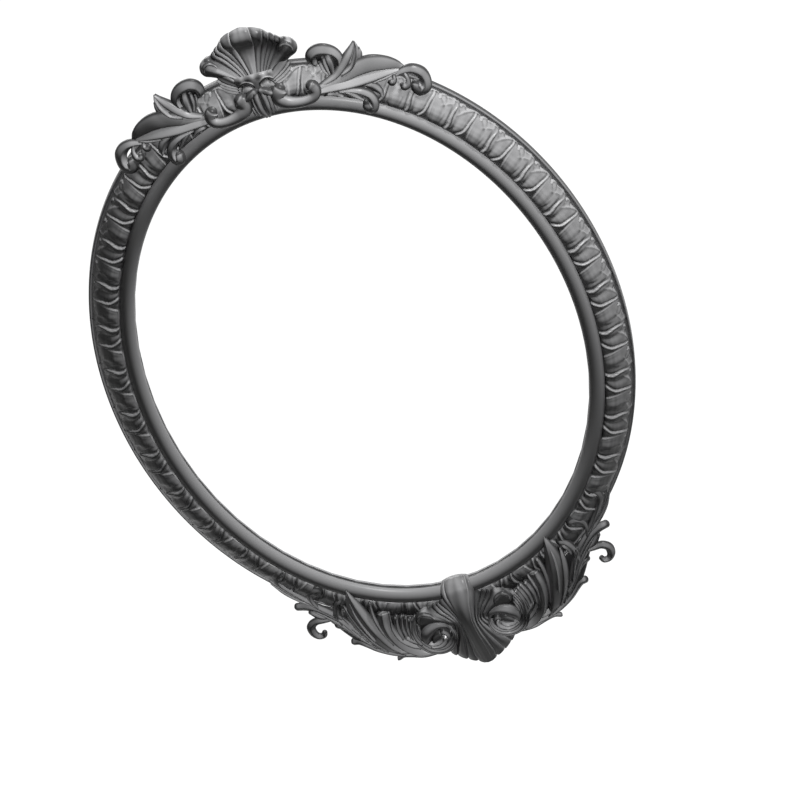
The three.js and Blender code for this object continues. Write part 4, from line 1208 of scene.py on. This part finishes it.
# %% Base shell
BASE_LINES = [
    (LEVEL, [(0, -292, 9.8), (0, -294.7, 3.6), (0, -300.6, -2.5), (0, -308.5, -8), (0, -316, -11.5),
             (0, -328, -14), (0, -340, -14.8), (0, -352, -13.5), (0, -365, -9), (0, -378, -3),
             (0, -391, 4.5), (0, -404.5, 12.5)]),
    (LEVEL, [(7.5, -292.4, 9.8), (7.5, -295, 3.8), (7.2, -301, -2), (6.6, -308.8, -7), (6, -316, -10.3),
             (4.4, -328, -13), (3, -340, -13.8), (1.6, -352, -12.6), (2.2, -365, -8), (3.6, -378, -2),
             (5, -391, 5.5), (6.4, -403.8, 13.3)]),
    (CREASE, [(11.8, -293.6, 10), (11.8, -296.2, 4.8), (11.4, -302, -0.4), (10.6, -309.4, -5),
              (9.2, -316.6, -8.4), (6.2, -328, -11.8), (3.8, -340, -12.8), (2.2, -352, -11.8),
              (3, -365, -7.2), (4.8, -378, -1.2), (6.6, -391, 6.3), (8, -403.2, 13.8)]),
    (LEVEL, [(15.4, -295, 9.8), (15.4, -297.6, 4.6), (15, -303, -1.4), (14, -310, -6), (12.4, -317, -8.8),
             (9, -328, -11.6), (5.8, -340, -12.4), (3.8, -352, -11.4), (4.8, -365, -6.6), (7.2, -378, -0.4),
             (9.6, -391, 7), (11, -401.4, 14.6)]),
    (CREASE, [(19.6, -298, 10.2), (19.6, -300.4, 7), (19, -305, 3), (17.4, -311.6, 0), (15, -318, -1),
              (11, -328, -2.4), (7.4, -340, -3.4), (5.4, -352, -3), (6.8, -365, 2), (9.8, -378, 8.6),
              (12.4, -390, 15), (13.8, -397, 20)]),
    (LEVEL, [(20.4, -312.5, 8), (20.4, -313.5, 4.6), (20.6, -315, 1), (20.6, -316.6, -2.4),
             (19.6, -319.6, -4.6), (14.6, -328.6, -7), (10, -340, -8.6), (7.4, -352, -8), (8.6, -365, -3),
             (12, -377.6, 3), (15.2, -389.4, 9.6), (16.6, -398.6, 16)]),
    (CREASE, [(22, -314, 10), (22, -314.8, 8), (22.2, -316, 5), (22.2, -317.8, 2.4), (21.4, -321, 1),
              (17, -329.4, -1), (11.8, -340, -3.4), (8.6, -352, -3.4), (11.6, -364.6, 2), (16.6, -376, 9),
              (21.4, -386.2, 15.4), (23.8, -392.4, 20)]),
    (LEVEL, [(24, -314, 8), (24, -315, 4.6), (24.4, -316.4, 1), (24.6, -318, -2), (23.8, -321.4, -4.2),
             (19.4, -330, -5.8), (13.4, -340, -7.4), (9.8, -351.6, -7), (12.8, -364, -2.6),
             (18.2, -375.2, 3), (23.2, -385.6, 9.6), (25.6, -393, 16.4)]),
    (CREASE, [(26, -314.6, 10), (26, -315.6, 8), (26.2, -317, 5), (26.4, -319, 2.8), (25.8, -322.4, 1.4),
              (21.8, -331, -0.6), (15.2, -340.4, -2.8), (11.2, -351, -2.8), (16, -362.2, 3.4),
              (23.4, -371.8, 10.8), (30, -380.2, 17), (33.2, -385.2, 20.8)]),
    (LEVEL, [(28, -315, 8), (28, -316, 4.6), (28.4, -317.4, 1), (28.8, -319.2, -1.6), (28.4, -322.8, -3.6),
             (24.4, -331.6, -5), (17, -340.8, -6.2), (12.8, -350.6, -5.8), (17.2, -361.6, -1),
             (24.8, -370.8, 5), (31.4, -379.4, 11.6), (34.6, -385.6, 17.6)]),
    (CREASE, [(30.4, -315.6, 10), (30.4, -316.6, 8), (30.8, -318, 5), (31.2, -320, 3), (30.8, -323.6, 1.6),
              (27, -332.2, 0.4), (19, -341.4, -1.6), (14.4, -350, -1.8), (20.6, -359.8, 5),
              (29.2, -368.2, 12.6), (36, -375.2, 18.6), (39, -379.4, 21.4)]),
    (LEVEL, [(33, -316, 8), (33.4, -317, 4.4), (34.2, -318.6, 0.6), (34.8, -321, -2.6), (34, -325.4, -4.8),
             (29.6, -333, -5.6), (21, -342, -5.2), (16, -349.8, -4.6), (22, -359, 0.6), (30.4, -367.4, 7.4),
             (37, -374.4, 14), (40, -379.4, 19)]),
    (LEVEL, [(41, -317.6, 8), (42.4, -319, 3.6), (44, -321.6, -0.8), (45, -325.8, -5.6), (42.6, -330.4, -8),
             (34.6, -335.6, -7.4), (24.4, -342.6, -5.6), (17.8, -349.4, -3.4), (24, -358, 2.6),
             (32, -365.6, 9.4), (38.6, -371.8, 16), (41.6, -376.6, 19.8)]),
    (CREASE, [(49, -322, 9), (51, -325.6, 5.4), (51.6, -332, 1.6), (49.4, -339.6, -2), (43, -342.8, -2.4),
              (33.6, -341.6, -1), (25.6, -344.6, 0.4), (19.2, -349.6, 3), (25.4, -358, 8),
              (33, -364.8, 13.4), (39.6, -370, 18), (43, -374, 21)]),
]
BASE_BACKS = [10.6, 9.6, 9, 9, 9, 11, 17, 24, 26, 26, 26, 26]
BASE_EXTRAS = [
    ([(12, -350, 12, 8, 5), (14, -362, 14, 12, 5), (18, -374, 18, 14, 4)], SHADED_GROUND),
    ([(31, -337, -5.4, 1.2, 2.4), (34, -331.4, -6.4, 2.0, 3), (40.4, -328.2, -7.4, 2.4, 3.2),
      (45.8, -330.8, -6.4, 2.2, 3), (47, -336.4, -4, 1.4, 2.6)], roof(-0.3, 0.4)),
]
carve_middle("shell_base", "base_shell", BASE_EXTRAS, fluted_sheet(BASE_LINES, BASE_BACKS))

# %% [markdown]
# ## Volutes of the base
# Each volute is a ribbed band that comes down beside the upright leaves, passes under and winds in
# round a small eye. Its last turn swells into a smooth crescent that catches the light.

# %% Volutes
carve_pair("volute_base", "base_volute", [
    ([(22.4, -347.5, 1, 1.2, 4.5), (19.8, -355.5, 2, 2.6, 6), (22.4, -364.4, 4, 3.8, 7),
      (30, -370.6, 6, 5.0, 7.5), (41, -371.8, 8, 5.8, 7.5), (51, -366.8, 8, 5.8, 7.5),
      (57.4, -356, 5, 5.2, 7), (58.6, -344, 2, 4.4, 6.5), (55, -333, 0, 3.2, 6), (51, -327, -1, 1.4, 4.5)],
     {"cut": ribbed_cut(3, 0.8), "face": 43}),
    ([(23, -352, -1, 1.4, 4.5), (25.4, -347.8, -2.4, 2.6, 5.5), (31.4, -345.6, -3.5, 4.2, 6.5),
      (38.4, -347, -3.5, 6.0, 7), (44.4, -351.4, -3, 6.2, 7), (47, -357, -1, 4.2, 6),
      (46, -362, 1, 1.0, 5)], {"cut": soft_cut, "lean": 40, "face": 33}),
    ([(29.6, -358.6, -1, 0.6, 4), (31, -356, -2, 0.9, 4.6), (30.2, -353.4, -3, 1.1, 5),
      (27.6, -353, -3, 1.4, 5.4), (25.2, -355.8, -2.4, 1.7, 5.8), (24.8, -360.2, -1.4, 2.0, 6.2),
      (27.4, -364.6, 0, 2.1, 6.6), (33, -367.6, 1.5, 2.2, 7), (40, -367.8, 3, 2.2, 7),
      (47, -365, 3.5, 1.8, 7)], roof(0, 0.6, cap=0.5)),
    ([(30.4, -359.4, -1, 0.8, 4.6), (32.4, -362.6, 0, 1.2, 5.6), (37.4, -364.4, 1, 1.5, 6),
      (43.4, -363.6, 1.5, 1.5, 6.2), (49, -359.4, 1.5, 1.4, 6), (52, -351, 0, 1.5, 6),
      (50.6, -342, -2, 1.3, 5.5)], roof(0, 0.5)),
    ([(30.6, -356.4, 1.5, 1.8, 4), (35.4, -355.8, 1.5, 4.2, 4.6), (41, -359.4, 2, 3.4, 4.6),
      (44.8, -362.6, 3, 1.0, 4)], {"cut": soft_cut, "lean": -14}),
    ([(52, -337, 1, 1.4, 5), (54.6, -346, 2, 2.0, 6), (54, -355, 3, 2.0, 6)], roof(0, 0.3)),
    ([(17, -348, 11, 6, 4), (34, -346, 9, 9, 4), (52, -345, 8, 11, 4), (60, -352, 9, 8, 4)], SHADED_GROUND),
])

# %% [markdown]
# ## Leaves of the base
# Behind the volute a bundle of leaves fans out. Short striped ones stand up, one with a flat turned tip
# curves up beside them, one tall leaf laps over the bead, and long ones sweep outwards along the edge,
# each with its tip turned over. A plain ground under them fills the gaps, as the carver leaves the wood
# there, and it is painted in full shade.

# %% Tall leaf
carve_pair("big_leaf_base", "base_big_leaf", [
    ([(80, -368, 13, 3.0, 5), (91, -354, 9, 6.6, 7.5), (98, -336, 4, 9.0, 9), (102.6, -318, 0.5, 9.8, 9.5),
      (105, -301, -2.5, 8.6, 8.5), (105.2, -288, -5.5, 5.0, 6.5), (104.6, -276.5, -8, 0.9, 3.5)],
     roof(-0.28, 0.75, face=41)),
    ([(96, -358, 12, 2.0, 5), (104.6, -342, 7, 3.4, 7), (110.6, -324, 3, 4.2, 7.5),
      (114, -307, 0.5, 3.4, 6.5), (115.6, -293.5, -1, 0.9, 4)], roof(-0.2, 0.8)),
    ([(99.5, -340, 2, 1.6, 8.5), (104, -322, -1, 2.0, 9), (106.6, -304, -4, 1.6, 8),
      (106.4, -290, -6, 0.7, 5.5)], roof(-0.2, 0.6)),
    ([(86, -352, 8, 1.6, 5), (90.4, -332, 3, 2.2, 6.5), (91.6, -314, 0, 2.0, 6), (90, -301, -2, 1.8, 5),
      (88.8, -297.5, -2.5, 1.2, 4)], roof(-0.2, 0.6)),
])

# %% Spray: the ground and the long leaves along the edge
SPRAY_GROUND = [
    ([(58, -352, 14, 14, 5), (85, -347, 16, 19, 5), (112, -327, 18, 17, 5), (140, -298, 20, 8, 4),
      (158, -281, 21, 3, 3)], SOFT | SHADED_GROUND),
    ([(50, -334, 11, 8, 5), (70, -329, 10, 9, 5), (92, -316, 11, 9, 5)], SOFT | SHADED_GROUND),
]
LONG_LEAVES = [
    ([(36, -374, 9, 3.0, 5.5), (50, -375.6, 10, 3.0, 5.5), (62, -375, 12, 3.0, 5.5),
      (74, -371.4, 15, 3.0, 5), (84, -369.4, 18, 2.8, 4.5), (90.6, -371.4, 20, 2.6, 4)], roof(0, 0.6)),
    ([(60, -372, 9, 2.4, 6), (76, -368.6, 13, 3.4, 6.5), (92, -362.6, 16, 4.0, 6),
      (106, -354, 17.5, 4.0, 5.5), (115, -345.6, 18, 4.2, 5), (121.6, -339.4, 18, 4.8, 4.6),
      (128, -338, 19.5, 4.4, 3.8)], roof(0.1, 0.7)),
    ([(66, -367, 8, 2.6, 6.5), (82, -362.4, 12, 3.6, 7), (99, -352, 15, 4.2, 6.5),
      (112, -339.4, 16.5, 4.2, 6), (121, -327.4, 17, 4.4, 5.5), (129, -318, 17.5, 5.2, 5),
      (137.4, -313.2, 19.5, 4.6, 3.8)], roof(0.1, 0.7)),
    ([(98, -352, 13, 2.2, 6), (110, -338, 14, 3.4, 6.5), (122, -320, 15, 3.8, 6.5),
      (134, -304.4, 16, 4.0, 6), (147, -290.6, 17, 4.6, 5.5), (159, -282.4, 18, 5.2, 4.6),
      (169.6, -279.6, 19.5, 4.6, 3.8)], roof(0.1, 0.7)),
    ([(106, -350, 15, 2.0, 6), (119, -333, 15.5, 3.0, 6.5), (131, -315, 16, 3.2, 6),
      (144, -298.6, 17, 3.0, 5.5), (157, -286, 18, 1.2, 4)], roof(0, 0.7)),
    ([(110, -340, 11, 2.0, 6), (122, -318, 11.5, 3.0, 6.5), (134, -300, 12.5, 3.2, 6.5),
      (147, -286, 14, 2.8, 6), (157, -276, 16, 1.2, 4)], roof(0, 0.7)),
]

# %% Spray: small tips, the leaf with a turned tip, and the upright leaves
SMALL_TIPS = [
    ([(116, -334, 9, 1.4, 5.5), (124, -316, 9, 2.2, 6.5), (131, -303, 9, 2.4, 6), (130.6, -299, 9, 2.0, 5)],
     roof(0, 0.6)),
    ([(100, -356, 15, 1.6, 5.5), (106, -347, 14, 2.6, 5.5), (108.4, -340, 12, 1.6, 4.5)], roof(0, 0.6)),
    ([(140, -302, 18, 2.5, 4), (150, -297.6, 16.5, 3.6, 4.5), (157.6, -289.6, 16, 2.6, 4)], roof(0, 0.5)),
]
TURNED_LEAF = [
    ([(52, -374, 8, 2.2, 6.5), (65, -368.4, 7.5, 4.2, 8), (75.4, -357, 6, 5.8, 9), (81, -342, 3, 6.6, 9),
      (82.8, -327, 0.5, 6.4, 8.5), (81, -316, -1, 6.4, 7), (80.4, -312.6, -1, 6.0, 5)],
     roof(0.35, 0.65, cap=0.15, face=37)),
    ([(60, -364, 6, 1.8, 6.5), (68, -358, 5, 2.8, 7.5), (76, -347, 3, 2.4, 7.5), (78.4, -334, 1, 1.8, 7),
      (76.4, -322, 0, 1.2, 6), (74.6, -314, -1, 0.9, 5)], roof(0, 0.6)),
    ([(57, -360, 5, 2.2, 6), (63, -354.6, 3, 3.4, 6.5), (68.4, -348.6, 1.5, 1.4, 5.5)], roof(0.1, 0.7)),
]
UPRIGHT_LEAVES = [
    ([(60, -352, 4, 1.6, 6), (60.4, -341, 1, 2.2, 6.5), (58, -331, -1, 2.4, 6), (56.4, -328, -1, 2.0, 5)],
     roof(0, 0.6)),
    ([(64.6, -349, 4, 1.4, 6), (64, -338, 1, 1.8, 6.5), (61, -328, -1, 1.7, 6), (59.8, -325, -1, 1.3, 5)],
     roof(0, 0.6)),
    ([(68.4, -348, 4, 1.4, 6), (68, -336, 1, 1.8, 6.5), (65, -325.6, -1, 1.7, 6),
      (63.4, -322.4, -1, 1.2, 5)], roof(0, 0.6)),
    ([(72.6, -348, 4, 1.6, 6), (72.8, -335, 1, 2.3, 7), (70.4, -324.6, -1, 2.4, 6.5),
      (68.8, -321.4, -1, 1.8, 5)], roof(0, 0.6)),
]
SPRAY = SPRAY_GROUND + LONG_LEAVES + SMALL_TIPS + TURNED_LEAF + UPRIGHT_LEAVES
carve_pair("spray_base", "base_spray", SPRAY)

# %% Base hooks and the small curls on the band
carve_pair("hook_base", "base_hook", [
    ([(136, -304.6, 17, 2.4, 4), (147, -303.4, 17, 3.6, 4.5), (156.6, -302.6, 17, 4.4, 5),
      (163, -307, 17.5, 4.7, 5), (163.4, -314.6, 18, 4.4, 5), (159.6, -320.4, 18, 3.6, 4.5),
      (154, -321, 17.5, 3.2, 4.5), (151.8, -317.6, 17, 2.8, 4)], roof(0, 0.5, cap=0.7)),
])
carve_pair("low_curl_band", "band_curl_low", [
    ([(130, -313, 12, 1.4, 4), (129.6, -303, 8, 2.6, 5), (126.8, -293, 5, 3.2, 5.5),
      (121.8, -286, 3, 3.2, 5.5), (116.4, -285, 2, 2.8, 5), (115.6, -288.4, 2, 1.8, 4)],
     roof(-0.1, 0.5, cap=0.7)),
    ([(124, -302, 8, 1.4, 4), (122.4, -295, 5, 1.8, 4.5), (119, -290, 3, 1.2, 4)], roof(0, 0.5)),
    ([(127, -306, 9, 1.4, 4), (129.6, -300, 7, 2.2, 4.5), (131.6, -298.4, 7, 1.6, 4)], {"cap": 0.7}),
])
carve_pair("mid_curl_band", "band_curl_mid", [
    ([(147, -286, 12, 1.2, 4), (149.4, -276, 8, 2.2, 4.5), (147.4, -267.4, 4, 3.0, 5),
      (141, -263.4, 2, 3.6, 5.5), (134.4, -265.4, 1, 3.0, 5), (133.6, -270, 1, 2.0, 4),
      (137.6, -272.6, 1, 1.2, 3.6)], roof(-0.1, 0.5, cap=0.7)),
])
carve_pair("high_curl_band", "band_curl_high", [
    ([(144, -288, 14, 1.4, 4), (157, -273, 13, 2.6, 5), (168, -257.4, 11, 3.4, 5.5),
      (174.4, -245, 8, 3.6, 5.5), (172, -236, 5, 3.4, 5.5), (166, -233.4, 3, 3.0, 5),
      (163.6, -236.4, 3, 1.8, 4)], roof(-0.1, 0.6, cap=0.7)),
    ([(150, -281, 16, 1.6, 4.5), (162, -269.6, 16, 2.6, 5), (173, -256.6, 16, 2.6, 5),
      (180, -246, 15, 2.2, 4), (184.4, -238.6, 14, 1.0, 3)], roof(0, 0.7)),
    ([(150, -284.6, 18, 1.4, 3.5), (164, -272.6, 18, 2.2, 4), (176, -258.4, 17.5, 2.2, 4),
      (185, -243.6, 17, 0.8, 3)], roof(0, 0.6)),
])

# %% [markdown]
# ## Floor, lamps and background
# The frame hangs in a white studio over a pale floor. One big soft lamp stands above and to the right,
# almost in the plane of the frame, so that it rakes across the carving and leaves the hollows dark. Two
# thirds of its light comes from a second lamp in the same place that casts no shadow, so that one leaf
# does not black out the next. A weak lamp behind keeps the back readable. The background is white only
# for rays that look at it or mirror it, so it adds no bounced light to the wood.

# %% Floor
FLOOR_HEIGHT, FLOOR_REACH = -1250, 9000
FLOOR_PALE = (0.8, 0.8, 0.8, 1)
FLOOR_FOR_BOUNCE = (0.1, 0.1, 0.1, 1)
FLOOR_GLOW, GLOW_SHARE = 1.12, 0.84
WHITE = (1, 1, 1, 1)


def seen_or_mirrored(tree):
    """1 for rays from the camera and for reflected or refracted rays."""
    path = tree.nodes.new("ShaderNodeLightPath")
    glossy = path.outputs["Is Glossy Ray"]
    mirrored_ray = math_node(tree, "MAXIMUM", glossy, path.outputs["Is Transmission Ray"])
    return math_node(tree, "MAXIMUM", path.outputs["Is Camera Ray"], mirrored_ray)


def floor_material():
    material = bpy.data.materials.new("pale_floor")
    material.use_nodes = True
    tree = material.node_tree
    tree.nodes.clear()
    end = tree.nodes.new("ShaderNodeOutputMaterial")
    matt = tree.nodes.new("ShaderNodeBsdfDiffuse")
    looked_at = seen_or_mirrored(tree)
    wire(tree, mix_colours(tree, looked_at, FLOOR_FOR_BOUNCE, FLOOR_PALE), matt.inputs["Color"])
    glow = tree.nodes.new("ShaderNodeEmission")
    glow.inputs["Color"].default_value = WHITE
    glow.inputs["Strength"].default_value = FLOOR_GLOW
    mix = tree.nodes.new("ShaderNodeMixShader")
    wire(tree, math_node(tree, "MULTIPLY", looked_at, GLOW_SHARE), mix.inputs["Fac"])
    wire(tree, matt.outputs[0], mix.inputs[1])
    wire(tree, glow.outputs[0], mix.inputs[2])
    wire(tree, mix.outputs[0], end.inputs["Surface"])
    return material


def add_floor():
    places = np.linspace(-FLOOR_REACH, FLOOR_REACH, 5)
    rows, columns = np.meshgrid(places, places, indexing="ij")
    points = np.stack([columns, rows, np.full(rows.shape, FLOOR_HEIGHT)], axis=-1)
    upwards = np.array([0, 0, 1])
    build_piece("floor", [Sheet(points, False, upwards)], floor_material())


add_floor()
print("floor at", FLOOR_HEIGHT, "mm")

# %% Lamps and world
LAMP_DISTANCE = 3.0
KEY_FROM, BACK_FROM = Vector((0.5, -0.09, 0.86)).normalized(), Vector((-0.3, 0.9, 0.3)).normalized()
# A lamp is its name, where it shines from, its size in metres, its watts and whether it casts shadows
LAMPS = [("key lamp", KEY_FROM, 0.7, 55, True), ("fill lamp", KEY_FROM, 0.7, 112, False),
         ("back lamp", BACK_FROM, 1.5, 30, True)]
WORLD_DIM = 0.015


def add_lamp(name, direction, size, power, shadow):
    lamp = bpy.data.objects.new(name, bpy.data.lights.new(name, "AREA"))
    lamp.data.shape = "DISK"
    lamp.data.size = size
    lamp.data.energy = power
    lamp.data.use_shadow = shadow
    bpy.context.scene.collection.objects.link(lamp)
    lamp.location = OVAL_CENTRE + LAMP_DISTANCE * direction
    lamp.rotation_euler = (-direction).to_track_quat("-Z", "Y").to_euler()


def add_world():
    world = bpy.data.worlds.new("studio")
    bpy.context.scene.world = world
    world.use_nodes = True
    tree = world.node_tree
    tree.nodes.clear()
    end = tree.nodes.new("ShaderNodeOutputWorld")
    mix = tree.nodes.new("ShaderNodeMixShader")
    wire(tree, seen_or_mirrored(tree), mix.inputs["Fac"])
    for strength, socket in ((WORLD_DIM, mix.inputs[1]), (1.0, mix.inputs[2])):
        background = tree.nodes.new("ShaderNodeBackground")
        background.inputs["Color"].default_value = WHITE
        background.inputs["Strength"].default_value = strength
        wire(tree, background.outputs[0], socket)
    wire(tree, mix.outputs[0], end.inputs["Surface"])


for lamp in LAMPS:
    add_lamp(*lamp)
add_world()
bpy.context.scene.view_settings.view_transform = "Standard"
print("lamps:", [name for name, *_ in LAMPS])
